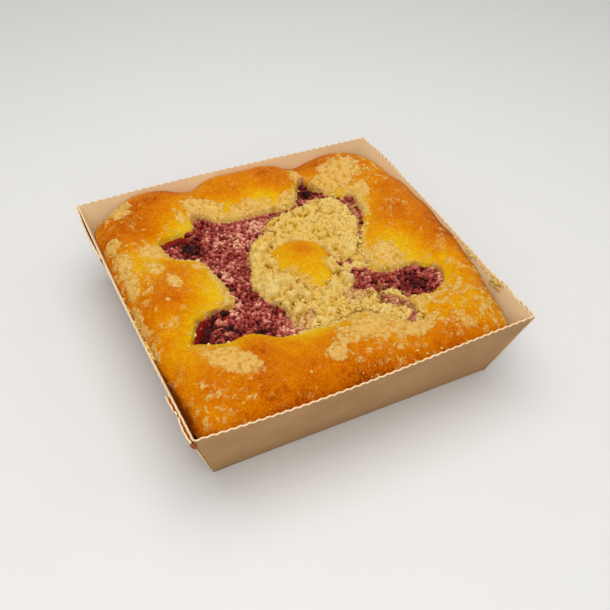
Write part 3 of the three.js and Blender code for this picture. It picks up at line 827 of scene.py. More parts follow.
def activate(piece: bpy.types.Object) -> None:
    """Makes a piece the only selected and the active one.

    Args:
        piece: The piece to work on.
    """
    bpy.ops.object.select_all(action="DESELECT")
    piece.select_set(True)
    bpy.context.view_layer.objects.active = piece


def named(name: str) -> bpy.types.Object:
    """Names the object that an operator has just added.

    Args:
        name: Its name, and its mesh's.

    Returns:
        The object.
    """
    piece = bpy.context.view_layer.objects.active
    piece.name = name
    piece.data.name = name
    return piece


def new_grid(name: str, columns: int, rows: int, half: float = 1.0) -> bpy.types.Object:
    """A flat grid to lay a piece out from.

    Args:
        name: Name of the piece.
        columns: Cells along X.
        rows: Cells along Y.
        half: Half of its side, in millimetres.

    Returns:
        The grid.
    """
    bpy.ops.object.select_all(action="DESELECT")
    bpy.ops.mesh.primitive_grid_add(x_subdivisions=columns, y_subdivisions=rows, size=2 * half * MM)
    return named(name)


def points_of(piece: bpy.types.Object) -> Array:
    """A piece's vertices, in millimetres.

    Args:
        piece: A mesh at the origin.

    Returns:
        One row for each vertex.
    """
    flat = np.zeros(len(piece.data.vertices) * 3)
    piece.data.vertices.foreach_get("co", flat)
    return flat.reshape(-1, 3) / MM


def move_points(piece: bpy.types.Object, points: Array) -> None:
    """Puts a piece's vertices at new places.

    Args:
        piece: A mesh at the origin.
        points: One row for each vertex, in millimetres.
    """
    piece.data.vertices.foreach_set("co", (points * MM).ravel())
    piece.data.update()


def set_share(piece: bpy.types.Object, name: str, values: Array) -> None:
    """Keeps a number for each vertex, which a finish reads.

    Args:
        piece: The mesh.
        name: The attribute's name.
        values: One number for each vertex.
    """
    attribute = piece.data.attributes.new(name, "FLOAT", "POINT")
    attribute.data.foreach_set("value", np.asarray(values, np.float32))


def apply_modifier(piece: bpy.types.Object, kind: str, **settings: Any) -> None:
    """Adds a modifier, sets it and applies it.

    Args:
        piece: The mesh to change.
        kind: The modifier's type.
        settings: Its properties.
    """
    activate(piece)
    modifier = piece.modifiers.new(kind.title(), kind)
    for name, value in settings.items():
        setattr(modifier, name, value)
    bpy.ops.object.modifier_apply(modifier=modifier.name)


def turn_over(piece: bpy.types.Object) -> None:
    """Turns a piece's faces the other way.

    Args:
        piece: The mesh to turn.
    """
    activate(piece)
    bpy.ops.object.mode_set(mode="EDIT")
    bpy.ops.mesh.select_all(action="SELECT")
    bpy.ops.mesh.flip_normals()
    bpy.ops.object.mode_set(mode="OBJECT")


def cut_below(piece: bpy.types.Object, height: float) -> None:
    """Cuts off what lies below a height and closes the cut.

    Args:
        piece: The mesh to cut.
        height: Height of the cut, in millimetres.
    """
    activate(piece)
    bpy.ops.object.mode_set(mode="EDIT")
    bpy.ops.mesh.select_all(action="SELECT")
    bpy.ops.mesh.bisect(
        plane_co=(0, 0, height * MM), plane_no=(0, 0, 1), use_fill=True, clear_inner=True, threshold=1e-7
    )
    bpy.ops.object.mode_set(mode="OBJECT")


def mesh_from(name: str, points: Array, faces: Array) -> bpy.types.Object:
    """A mesh from arrays, for what is scattered.

    Args:
        name: The object's name.
        points: One row for each vertex, in millimetres.
        faces: One row of three vertex numbers for each triangle.

    Returns:
        The new object.
    """
    mesh = bpy.data.meshes.new(name)
    mesh.vertices.add(len(points))
    mesh.vertices.foreach_set("co", (points * MM).ravel())
    mesh.loops.add(faces.size)
    mesh.loops.foreach_set("vertex_index", faces.ravel())
    mesh.polygons.add(len(faces))
    mesh.polygons.foreach_set("loop_start", np.arange(0, faces.size, 3))
    mesh.update(calc_edges=True)
    piece = bpy.data.objects.new(name, mesh)
    bpy.context.scene.collection.objects.link(piece)
    return piece


def shade(piece: bpy.types.Object, angle: float = 180.0) -> None:
    """Shades a piece smooth, but for edges sharper than an angle in degrees.

    Args:
        piece: The mesh.
        angle: The angle in degrees.
    """
    activate(piece)
    bpy.ops.object.shade_smooth_by_angle(angle=math.radians(angle))


def place(piece: bpy.types.Object, slot: str, finishes: Sequence["Finish"], *nodes: str) -> None:
    """Dresses a finished piece and hands it to the frame.

    Args:
        piece: The finished mesh.
        slot: Not used.
        finishes: Its finishes, one for each material index.
        nodes: CAD nodes that it stands for.
    """
    for finish in finishes[len(piece.data.materials):]:
        piece.data.materials.append(finish.material())
    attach(piece, "root")
    if nodes:
        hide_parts(*nodes)
    LOG.info("%s: %d triangles", piece.name, sum(len(face.vertices) - 2 for face in piece.data.polygons))


# Shader maths


Value = Union[float, "Wire"]


class Wire:
    """An output socket of a shader node. Sums on it add Math nodes."""

    def __init__(self, bench: "Bench", socket: bpy.types.NodeSocket) -> None:
        """Wraps a socket.

        Args:
            bench: The bench that it belongs to.
            socket: The output socket.
        """
        self.bench = bench
        self.socket = socket

    def _with(self, operation: str, first: Value, second: Value) -> "Wire":
        """A Math node on two values."""
        return self.bench.node("ShaderNodeMath", {"operation": operation}, {0: first, 1: second})

    def __add__(self, other: Value) -> "Wire":
        """Sum."""
        return self._with("ADD", self, other)

    __radd__ = __add__

    def __sub__(self, other: Value) -> "Wire":
        """Difference."""
        return self._with("SUBTRACT", self, other)

    def __rsub__(self, other: Value) -> "Wire":
        """Difference, the other way round."""
        return self._with("SUBTRACT", other, self)

    def __mul__(self, other: Value) -> "Wire":
        """Product."""
        return self._with("MULTIPLY", self, other)

    __rmul__ = __mul__

    def __truediv__(self, other: Value) -> "Wire":
        """Quotient."""
        return self._with("DIVIDE", self, other)

    def step(self, low: float, high: float, start: float = 0.0, end: float = 1.0) -> "Wire":
        """A smooth step from start to end.

        Args:
            low: Value where it starts.
            high: Value where it ends.
            start: What it gives at low.
            end: What it gives at high.

        Returns:
            The stepped value.
        """
        settings = {"interpolation_type": "SMOOTHSTEP"}
        sockets = {"Value": self, "From Min": low, "From Max": high, "To Min": start, "To Max": end}
        return self.bench.node("ShaderNodeMapRange", settings, sockets)


class Bench:
    """Builds one material's nodes."""

    def __init__(self, name: str) -> None:
        """Starts an empty material.

        Args:
            name: The material's name.
        """
        self.material = bpy.data.materials.new(name)
        self.material.use_nodes = True
        self.tree = self.material.node_tree
        self.tree.nodes.clear()
        self.place = self.node("ShaderNodeTexCoord", output="Object")

    def node(
        self,
        kind: str,
        settings: Optional[Dict[str, Any]] = None,
        sockets: Optional[Dict[Union[str, int], Any]] = None,
        output: Union[str, int] = 0,
    ) -> Wire:
        """Adds a node.

        Args:
            kind: The node's type.
            settings: Its properties, set first. A ramp's stops are given as "stops".
            sockets: Values or links of its inputs.
            output: The output to give back.

        Returns:
            That output.
        """
        node = self.tree.nodes.new(kind)
        for name, value in (settings or {}).items():
            if name == "stops":
                self._set_stops(node.color_ramp, value)
            else:
                setattr(node, name, value)
        for name, value in (sockets or {}).items():
            if isinstance(value, Wire):
                self.tree.links.new(value.socket, node.inputs[name])
            else:
                node.inputs[name].default_value = value
        return Wire(self, node.outputs[output]) if node.outputs else Wire(self, None)

    def _set_stops(self, ramp: bpy.types.ColorRamp, stops: Sequence[Tuple[float, Colour]]) -> None:
        """Gives a colour ramp its stops.

        Args:
            ramp: The ramp.
            stops: Positions and colours, in order.
        """
        while len(ramp.elements) < len(stops):
            ramp.elements.new(1.0)
        for element, (position, colour) in zip(ramp.elements, stops):
            element.position = position
            element.color = colour

    def ramp(self, value: Value, stops: Sequence[Tuple[float, Colour]]) -> Wire:
        """A colour for each value."""
        return self.node("ShaderNodeValToRGB", {"stops": stops}, {"Fac": value})

    def mix(self, share: Value, first: Union[Wire, Colour], second: Union[Wire, Colour]) -> Wire:
        """A mix of two colours.

        Args:
            share: Share of the second.
            first: The first colour.
            second: The second colour.

        Returns:
            The mixed colour.
        """
        settings = {"data_type": "RGBA", "blend_type": "MIX"}
        return self.node("ShaderNodeMix", settings, {0: share, 6: first, 7: second}, output=2)

    def noise(
        self, size: float, detail: float = 3.0, rough: float = 0.55, place: Optional[Wire] = None
    ) -> Wire:
        """Noise from 0 to 1 over the piece.

        Args:
            size: Distance between its bumps, in millimetres.
            detail: Number of finer layers.
            rough: Strength of the finer layers.
            place: Coordinates, where they aren't the piece's own.

        Returns:
            The noise.
        """
        sockets = {"Vector": place or self.place, "Scale": 1 / (size * MM)}
        sockets.update({"Detail": detail, "Roughness": rough})
        return self.node("ShaderNodeTexNoise", None, sockets)

    def cells(self, size: float, output: str = "Distance") -> Wire:
        """Scattered cells over the piece.

        Args:
            size: Distance between them, in millimetres.
            output: Distance from the nearest one's middle, or its own random Color.

        Returns:
            That output.
        """
        sockets = {"Vector": self.place, "Scale": 1 / (size * MM)}
        return self.node("ShaderNodeTexVoronoi", None, sockets, output)

    def share(self, name: str) -> Wire:
        """A number that the piece keeps for each vertex."""
        return self.node("ShaderNodeAttribute", {"attribute_name": name}, output="Fac")

    def stretched(self, scale: Tuple[float, float, float]) -> Wire:
        """The piece's coordinates, scaled along each axis."""
        return self.node("ShaderNodeMapping", None, {"Vector": self.place, "Scale": scale})

    def bump(self, height: Wire, deep: float, strength: float = 1.0, under: Optional[Wire] = None) -> Wire:
        """A bumpy surface.

        Args:
            height: Height from 0 to 1.
            deep: How deep the bumps are, in millimetres.
            strength: Share of the bumps that shows.
            under: Bumps that these lie on.

        Returns:
            The surface's normal.
        """
        sockets = {"Height": height, "Distance": deep * MM, "Strength": strength}
        if under is not None:
            sockets["Normal"] = under
        return self.node("ShaderNodeBump", None, sockets)

    def surface(self, **sockets: Any) -> bpy.types.Material:
        """Ends the material with its shader.

        Args:
            sockets: The shader's inputs, with underscores for spaces.

        Returns:
            The material.
        """
        inputs = {name.replace("_", " "): value for name, value in sockets.items()}
        shader = self.node("ShaderNodeBsdfPrincipled", None, inputs)
        self.node("ShaderNodeOutputMaterial", None, {"Surface": shader})
        return self.material


# Finishes


class Finish:
    """A finish that builds its material once."""

    built: Dict[str, bpy.types.Material] = {}

    def material(self) -> bpy.types.Material:
        """The finish's material, built at its first use.

        Returns:
            The material.
        """
        key = repr(self)
        if key not in self.built:
            self.built[key] = self.build()
        return self.built[key]

    def build(self) -> bpy.types.Material:
        """Builds the material."""
        raise NotImplementedError


@dataclass(frozen=True)
class BoardFace(Finish):
    """Kraft board, with fibres along the walls and specks."""

    name: str
    light: Colour
    dark: Colour
    rough: float
    fibre: float = 0.5
    foot_shade: float = 0.0

    def build(self) -> bpy.types.Material:
        """Fibres, specks and slow clouds over plain board.

        Returns:
            The material.
        """
        bench = Bench(self.name)
        along_x = bench.noise(0.5, 4, 0.6, bench.stretched((0.12, 1, 1)))
        along_y = bench.noise(0.5, 4, 0.6, bench.stretched((1, 0.12, 1)))
        fibres = (along_x + along_y) * 0.5
        clouds = bench.noise(14, 3, 0.5)
        specks = bench.cells(1.7).step(0.05, 0.13, 1.0, 0.0) * bench.noise(5, 2).step(0.45, 0.7)
        tone = (fibres - 0.5) * self.fibre * 2 + (clouds - 0.5) * 0.5 + 0.5 - specks * 0.35
        body = bench.mix(tone.step(0.1, 0.9), self.dark, self.light)
        # Painted shade: the board darker towards its foot.
        height = bench.node("ShaderNodeSeparateXYZ", None, {0: bench.place}, "Z")
        foot = height.step(0.0, 16 * MM, self.foot_shade, 0.0)
        colour = bench.mix(foot, body, self.dark)
        normal = bench.bump(fibres, 0.12, 0.6)
        return bench.surface(Base_Color=colour, Roughness=self.rough, Normal=normal, Specular_IOR_Level=0.3)


@dataclass(frozen=True)
class BakedCrust(Finish):
    """Egg-washed golden dough, from yellow to deep brown, with crumbs baked on."""

    name: str = "baked_crust"

    def build(self) -> bpy.types.Material:
        """Browning, pores, pale flecks, patches of crumb and juice stains.

        Returns:
            The material.
        """
        bench = Bench(self.name)
        fine = bench.noise(0.8, 4, 0.7)
        mottle = bench.noise(2.4, 4, 0.6)
        clouds = bench.noise(9, 3, 0.5)
        brown = bench.share("browning") + (fine - 0.5) * 0.95 + (mottle - 0.5) * 0.45 + (clouds - 0.5) * 0.3
        dough = bench.ramp(brown, [
            (0.0, paint(223, 186, 50)),
            (0.16, paint(223, 174, 14)),
            (0.36, paint(220, 151, 3)),
            (0.56, paint(211, 123, 1)),
            (0.78, paint(198, 102, 1)),
            (0.94, paint(172, 77, 1)),
            (1.0, paint(134, 52, 1)),
        ])
        pores = bench.noise(0.5, 2, 0.5).step(0.56, 0.7)
        dough = bench.mix(pores * 0.42, dough, paint(150, 72, 0))
        fleck = bench.noise(0.9, 2, 0.5).step(0.6, 0.7) * bench.noise(4, 2).step(0.4, 0.6)
        dough = bench.mix(fleck * 0.4, dough, paint(222, 172, 52))
        grain = bench.noise(1.0, 4, 0.65)
        inside = (bench.share("crumb") + (grain - 0.5) * 0.8).step(-0.15, 0.2)
        # Crumbs paler on their lumps and darker between them: partly their own colour, partly painted shade.
        lumps = bench.share("lumps") - 0.35
        crumb_colour = bench.ramp(grain + (mottle - 0.5) * 0.3 + lumps * 0.5, [
            (0.2, paint(187, 125, 24)),
            (0.42, paint(212, 157, 62)),
            (0.75, paint(225, 186, 108)),
        ])
        colour = bench.mix(inside * 0.9, dough, crumb_colour)
        # Dark red-brown band along the walls: partly burnt crust, partly painted shade of the gap at the wall.
        scorched_and_shaded = (bench.share("scorch_and_gap_shade") + (mottle - 0.5) * 0.4).step(0.2, 0.9)
        colour = bench.mix(scorched_and_shaded * 0.9, colour, paint(84, 24, 7))
        stain = (bench.share("stain") + (mottle - 0.5) * 0.7).step(0.25, 1.0)
        colour = bench.mix(stain * 0.68, colour, paint(158, 84, 74))
        deep_stain = (bench.share("stain") + (mottle - 0.5) * 0.4).step(0.8, 1.3)
        colour = bench.mix(deep_stain * 0.9, colour, paint(109, 29, 35))
        rough = inside.step(0, 1, 0.46, 0.8) + (mottle - 0.5) * 0.14
        low = bench.bump(fine, 0.85, 1.2)
        normal = bench.bump(grain * inside, 0.5, 0.5, low)
        return bench.surface(
            Base_Color=colour,
            Roughness=rough,
            Normal=normal,
            Specular_IOR_Level=0.07,
            Specular_Tint=paint(255, 170, 20),
            Subsurface_Weight=0.1,
            Subsurface_Radius=(1.0, 0.45, 0.1),
            Subsurface_Scale=0.0012,
        )


@dataclass(frozen=True)
class CrumbFinish(Finish):
    """Baked crumble, dry and pale, or soaked with berry juice."""

    name: str
    gloss: float = 0.0

    def build(self) -> bpy.types.Material:
        """Pale crests and golden gaps when dry, pink crests and near-black gaps when soaked: partly the
        crumbs' own colour, partly painted shade in the gaps.

        Returns:
            The material.
        """
        bench = Bench(self.name)
        fine = bench.noise(0.6, 3, 0.6)
        mottle = bench.noise(2.0, 3, 0.6)
        # Relief height: the darker gaps are partly the crumbs' own colour, partly painted shade.
        tops_and_shade = bench.share("tops_and_shade") + (fine - 0.5) * 0.35 + (mottle - 0.5) * 0.2
        dry = bench.ramp(tops_and_shade, [
            (0.0, paint(126, 84, 8)),
            (0.2, paint(172, 128, 30)),
            (0.45, paint(197, 161, 72)),
            (0.9, paint(206, 181, 114)),
        ])
        golden = bench.share("tint").step(0.4, 1.0)
        dry = bench.mix(golden * 0.4, dry, paint(196, 150, 32))
        wet = bench.ramp(tops_and_shade + bench.share("pale") * 0.36 - 0.17, [
            (0.0, paint(26, 2, 2)),
            (0.24, paint(76, 10, 8)),
            (0.5, paint(131, 41, 34)),
            (0.8, paint(170, 94, 79)),
            (1.0, paint(203, 154, 124)),
        ])
        soak = (bench.share("soak") + (mottle - 0.5) * 0.6).step(0.15, 0.85)
        colour = bench.mix(soak, dry, wet)
        rough = (0.86 - soak * self.gloss) + (fine - 0.5) * 0.15
        normal = bench.bump(fine, 0.14, 0.5)
        return bench.surface(
            Base_Color=colour,
            Roughness=rough,
            Normal=normal,
            Specular_IOR_Level=0.1,
            Subsurface_Weight=0.3,
            Subsurface_Radius=(1.0, 0.7, 0.3),
            Subsurface_Scale=0.0011,
        )


@dataclass(frozen=True)
class Jam(Finish):
    """Wet dark berry jam."""

    name: str = "berry_jam"

    def build(self) -> bpy.types.Material:
        """Glossy dark red, nearly black where it is deep.

        Returns:
            The material.
        """
        bench = Bench(self.name)
        mottle = bench.noise(1.8, 3, 0.6)
        deep = (bench.share("deep") + (mottle - 0.5) * 0.8).step(0.1, 0.9)
        colour = bench.mix(deep, paint(118, 8, 1), paint(50, 3, 3))
        normal = bench.bump(mottle, 0.8, 0.8)
        return bench.surface(Base_Color=colour, Roughness=0.34, Normal=normal, Specular_IOR_Level=0.07)


@dataclass(frozen=True)
class BurntSyrup(Finish):
    """Juice and dough baked brown onto the board."""

    name: str = "burnt_syrup"

    def build(self) -> bpy.types.Material:
        """Mottled amber to dark brown, half glossy.

        Returns:
            The material.
        """
        bench = Bench(self.name)
        mottle = bench.noise(1.3, 3, 0.6)
        colour = bench.ramp(mottle, [(0.3, paint(92, 40, 8)), (0.6, paint(168, 88, 14))])
        normal = bench.bump(mottle, 0.3, 0.5)
        return bench.surface(Base_Color=colour, Roughness=0.45, Normal=normal, Specular_IOR_Level=0.15)


@dataclass(frozen=True)
class StudioPaper(Finish):
    """Plain pale paper under the cake."""

    name: str = "studio_paper"

    def build(self) -> bpy.types.Material:
        """Nearly even, with a soft grain.

        Returns:
            The material.
        """
        bench = Bench(self.name)
        colour = bench.mix(bench.noise(30, 2), paint(206, 205, 203), paint(208, 207, 206))
        return bench.surface(Base_Color=colour, Roughness=0.9)


BOARD_OUTSIDE = BoardFace("board_outside", paint(184, 145, 100), paint(152, 114, 70), 0.82, 0.6, 0.45)
BOARD_INSIDE = BoardFace("board_inside", paint(224, 198, 156), paint(208, 178, 134), 0.7, 0.3)
BOARD_EDGE = BoardFace("board_edge", paint(226, 200, 162), paint(200, 168, 126), 0.85, 0.6)
BOARD = (BOARD_OUTSIDE, BOARD_INSIDE, BOARD_EDGE)


# Crumbs


@dataclass
class CrumbKit:
    """Broken crumbs to copy."""

    kinds: int = 8
    cuts: int = 4
    ball: int = 2
    uneven: float = 0.26
    seed: int = 11
    shapes: List[Tuple[Array, Array]] = field(default_factory=list)

    def prepare(self) -> "CrumbKit":
        """Breaks each kind from an uneven ball with flat cuts.
        """
        draw = np.random.default_rng(self.seed)
        for kind in range(self.kinds):
            bpy.ops.object.select_all(action="DESELECT")
            bpy.ops.mesh.primitive_ico_sphere_add(subdivisions=self.ball, radius=1.0)
            ball = bpy.context.view_layer.objects.active
            bpy.ops.object.mode_set(mode="EDIT")
            bpy.ops.mesh.select_all(action="SELECT")
            bpy.ops.transform.vertex_random(offset=self.uneven, normal=0.5, seed=self.seed + kind)
            for _ in range(self.cuts):
                way = Vector(draw.normal(size=3)).normalized()
                bpy.ops.mesh.select_all(action="SELECT")
                bpy.ops.mesh.bisect(
                    plane_co=way * draw.uniform(0.6, 0.9), plane_no=way, use_fill=True, clear_outer=True
                )
            bpy.ops.mesh.select_all(action="SELECT")
            bpy.ops.mesh.remove_doubles(threshold=0.2)
            bpy.ops.mesh.quads_convert_to_tris()
            bpy.ops.mesh.normals_make_consistent(inside=False)
            bpy.ops.object.mode_set(mode="OBJECT")
            points = points_of(ball) * MM
            faces = np.array([face.vertices[:] for face in ball.data.polygons])
            points -= points.mean(0)
            self.shapes.append((points / np.linalg.norm(points, axis=1).mean(), faces))
            bpy.data.objects.remove(ball)
        return self


@dataclass(frozen=True)
class Lying:
    """How loose crumbs lie: how flat, how much juice they take up and how much painted shade darkens them
    below.
    """

    flat: float = 0.9
    juice: float = 1.0
    # Painted shade towards each crumb's underside.
    dark: float = 0.26


@dataclass
class Scatter:
    """Crumbs strewn over the plan: where each lies and how large it is."""

    places: Array
    sizes: Array
    seed: int

    def mesh(self, name: str, kit: CrumbKit, lying: Lying) -> bpy.types.Object:
        """Args:
            name: Name of the new piece.
            kit: Crumbs to copy.
            lying: How they lie.

        Returns:
            The joined mesh, with what the finish reads: each crumb's own tint, paleness and soaking, and the
            height of each point in its crumb, which also paints shade on its underside.
        """
        draw = np.random.default_rng(self.seed)
        points: List[Array] = []
        faces: List[Array] = []
        crumbs: List[Array] = []
        start = 0
        kinds = draw.integers(len(kit.shapes), size=len(self.places))
        for kind, (shape, triangles) in enumerate(kit.shapes):
            chosen = np.flatnonzero(kinds == kind)
            count = len(chosen)
            stretch = draw.uniform(0.7, 1.25, (count, 1, 3))
            turned = np.einsum("nij,nkj->nki", random_turns(draw, count), shape[None] * stretch)
            turned *= self.sizes[chosen][:, None, None] * np.array([1.0, 1.0, lying.flat])
            points.append((turned + self.places[chosen][:, None]).reshape(-1, 3))
            offsets = start + len(shape) * np.arange(count)[:, None, None]
            faces.append((triangles[None] + offsets).reshape(-1, 3))
            crumbs.append(np.repeat(chosen, len(shape)))
            start += count * len(shape)
        piece = mesh_from(name, np.concatenate(points), np.concatenate(faces))
        self.mark(piece, np.concatenate(points), np.concatenate(crumbs), lying)
        return piece

    def mark(self, piece: bpy.types.Object, points: Array, crumbs: Array, lying: Lying) -> None:
        """Keeps what the finish reads.

        Args:
            piece: The joined crumbs.
            points: Their vertices.
            crumbs: The crumb that each vertex belongs to.
            lying: How the crumbs lie.
        """
        draw = np.random.default_rng(self.seed + 100)
        x, y, z = self.places.T
        count = len(x)
        from_opening = PLAN.opening_distance(x, y)
        wet = lying.juice * PLAN.soak(x, y) * ease(1.2, -0.2, from_opening)
        wet = np.maximum(wet, 0.5 * np.clip(total(PLAN.stains, x, y), 0, 1) * ease(2.4, 0.6, from_opening))
        rise = (points[:, 2] - z[crumbs]) / (self.sizes[crumbs] * lying.flat)
        # Painted shade: each crumb darker towards its underside.
        set_share(piece, "tops_and_shade", 0.76 - lying.dark * (1 - np.clip(rise, -1, 1)))
        set_share(piece, "tint", draw.random(count)[crumbs])
        # Own paleness, with painted shade in the hollows and along the lips.
        set_share(piece, "pale", (draw.normal(0, 0.32, count) + total(PLAN.pale_crumbs_and_hollow_shade, x, y))[crumbs])
        set_share(piece, "soak", np.clip(wet + draw.uniform(-0.2, 0.2, count) * (wet > 0.1), 0, 1)[crumbs])


def random_turns(draw: np.random.Generator, count: int) -> Array:
    """Rotations drawn evenly.

    Args:
        draw: Source of the draw.
        count: How many.

    Returns:
        One three by three matrix for each.
    """
    quaternions = draw.normal(size=(count, 4))
    w, x, y, z = (quaternions / np.linalg.norm(quaternions, axis=1, keepdims=True)).T
    rows = [
        [1 - 2 * (y * y + z * z), 2 * (x * y - z * w), 2 * (x * z + y * w)],
        [2 * (x * y + z * w), 1 - 2 * (x * x + z * z), 2 * (y * z - x * w)],
        [2 * (x * z - y * w), 2 * (y * z + x * w), 1 - 2 * (x * x + y * y)],
    ]
    return np.moveaxis(np.array(rows), -1, 0)


@dataclass
class Strewing:
    """How crumbs are strewn: spacing, sizes, and how high they lie over their bed."""

    spacing: float
    smallest: float
    largest: float
    lift: float
    jumble: float
    seed: int

    def over(self, likely: Field, level: Field) -> Scatter:
        """Strews crumbs where a field says that they are likely.

        Args:
            likely: Chance of a crumb at each place, from 0 to 1.
            level: Height of what they lie on.

        Returns:
            The strewn crumbs.
        """
        draw = np.random.default_rng(self.seed)
        half = 82.0
        lines = np.arange(-half, half, self.spacing)
        x, y = (axis.ravel() for axis in np.meshgrid(lines, lines))
        x = x + draw.uniform(-0.6, 0.6, x.size) * self.spacing
        y = y + draw.uniform(-0.6, 0.6, y.size) * self.spacing
        kept = draw.random(x.size) < likely(x, y)
        x, y = x[kept], y[kept]
        sizes = self.smallest + (self.largest - self.smallest) * draw.random(x.size) ** 1.7
        z = level(x, y) + sizes * self.lift + draw.uniform(-1, 1, x.size) * self.jumble
        return Scatter(np.stack([x, y, z], 1), sizes, self.seed + 1)


# The tray


@dataclass
class BoardTray:
    """The folded board tray with its scalloped rim and glue tabs."""

    points_per_wave: int = 8
    corner_smoothing: int = 2
    heights: Tuple[float, ...] = (0.0, 0.12, 0.5, 1.2, 6, 13, 20, 27, 33, 37, 38.8, 40)
    insets: Tuple[float, ...] = (0.9, 0.35, 0.08, 0, 0, 0, 0, 0, 0, 0, 0, 0)
    front_tab: float = 26.0
    back_tab: float = 44.0
    tab_foot: float = 1.5
    tab_drop: float = 0.35
    slit: float = 0.95
    slit_depth: float = 13.0

    def build(self) -> None:
        """Builds the shell and the tabs."""
        shell = self.shell()
        place(shell, "tray_board", BOARD, "board_tray")
        share = self.front_tab / 160
        back_share = self.back_tab / 160
        place(self.tab("front_left_tab", 3, 1 - share, 1.0, True), "tray_board", BOARD)
        place(self.tab("back_left_tab", 3, 0.0, back_share, False), "tray_board", BOARD)
        place(self.tab("front_right_tab", 1, 0.0, share, True), "tray_board", BOARD)
        place(self.tab("back_right_tab", 1, 1 - back_share, 1.0, False), "tray_board", BOARD)

    def shell(self) -> bpy.types.Object:
        """Raises the walls row by row from the foot, then gives the board its thickness.

        Returns:
            The shell.
        """
        columns = TRAY.waves * self.points_per_wave
        bpy.ops.object.select_all(action="DESELECT")
        bpy.ops.mesh.primitive_circle_add(vertices=4 * columns, radius=0.07, fill_type="NGON")
        shell = named("tray_shell")
        bpy.ops.object.mode_set(mode="EDIT")
        bpy.ops.mesh.select_mode(type="EDGE")
        bpy.ops.mesh.select_all(action="DESELECT")
        bpy.ops.mesh.select_non_manifold()
        for _ in self.heights[1:]:
            bpy.ops.mesh.extrude_edges_move(TRANSFORM_OT_translate={"value": (0, 0, 0.001)})
        bpy.ops.object.mode_set(mode="OBJECT")
        points = points_of(shell)
        rows = np.rint(points[:, 2]).astype(int)
        turn = np.degrees(np.arctan2(points[:, 0], points[:, 1])) % 360
        order = np.rint(turn / 360 * 4 * columns).astype(int) % (4 * columns)
        for row, (height, inset) in enumerate(zip(self.heights, self.insets)):
            here = rows == row
            ring = self.ring(height, inset, columns)
            points[here] = ring[(-order[here]) % (4 * columns)]
        move_points(shell, points)
        activate(shell)
        bpy.ops.object.mode_set(mode="EDIT")
        bpy.ops.mesh.select_all(action="SELECT")
        bpy.ops.mesh.normals_make_consistent(inside=False)
        bpy.ops.object.mode_set(mode="OBJECT")
        if sum(face.normal.z * face.area for face in shell.data.polygons) > 0:
            turn_over(shell)
        for finish in BOARD:
            shell.data.materials.append(finish.material())
        apply_modifier(
            shell, "SOLIDIFY", thickness=TRAY.board * MM, offset=-1.0,
            use_even_offset=True, material_offset=1, material_offset_rim=2,
        )
        shade(shell, 40)
        return shell

    def ring(self, height: float, inset: float, columns: int) -> Array:
        """One closed row of points round the outer face.

        Args:
            height: Its height over the floor.
            inset: Distance in from the walls, at the foot's fold.
            columns: Points along each wall.

        Returns:
            Points from the front-left corner, counter-clockwise.
        """
        along = np.arange(columns) / columns
        level = np.full(columns, height)
        walls = [TRAY.point(index, along, level, -inset) for index in range(4)]
        for index, wall in enumerate(walls):
            wall -= inset * (1 - 2 * along)[:, None] * -np.roll(TRAY.normal(index), 1) * np.array([1, -1])
        plan = np.concatenate(walls)
        for _ in range(self.corner_smoothing):
            plan = (np.roll(plan, 1, 0) + 2 * plan + np.roll(plan, -1, 0)) / 4
        waves = TRAY.wave_rise * np.cos(2 * np.pi * TRAY.waves * np.tile(along, 4))
        lift = waves * ease(TRAY.height - 2, TRAY.height, np.full(4 * columns, height))
        return np.column_stack([plan, height + lift])

    def slit_width(self, share: Array) -> Array:
        """How far a tab stands off its wall at the rim: two bays with a pinch between them."""
        return self.slit * np.abs(np.sin(np.pi * (0.12 + 1.6 * share))) ** 0.8

    def tab(self, name: str, wall: int, start: float, end: float, pinched: bool) -> bpy.types.Object:
        """A glue tab over a side wall.

        Args:
            name: Name of the piece.
            wall: Which wall it lies on.
            start: Share of the wall where it starts.
            end: Share where it ends.
            pinched: True for a tab with a pinch, False for one with a single bay.

        Returns:
            The tab.
        """
        columns = round((end - start) * TRAY.waves * self.points_per_wave)
        rows = 14
        tab = new_grid(name, columns, rows)
        grid = points_of(tab)
        share = (grid[:, 0] + 1) / 2
        rise = (grid[:, 1] + 1) / 2
        along = start + (end - start) * share
        top = TRAY.height - self.tab_drop
        height = self.tab_foot + (top - self.tab_foot) * rise ** 0.8
        from_corner = share if start == 0.0 else 1 - share
        bay = self.slit_width(from_corner) if pinched else self.slit * np.sin(np.pi * share) ** 1.2
        lean = ease(top - self.slit_depth, top, height)
        plan = TRAY.point(wall, along, height, 0.06 + bay * lean)
        waves = TRAY.wave_rise * np.cos(2 * np.pi * TRAY.waves * along + 1.3)
        lift = waves * ease(top - 2, top, height)
        move_points(tab, np.column_stack([plan, height + lift]))
        for finish in BOARD:
            tab.data.materials.append(finish.material())
        out = TRAY.normal(wall)
        if sum(face.normal.x for face in tab.data.polygons) * out[0] < 0:
            turn_over(tab)
        apply_modifier(
            tab, "SOLIDIFY", thickness=TRAY.board * MM, offset=1.0,
            material_offset=1, material_offset_rim=2,
        )
        shade(tab, 40)
        return tab


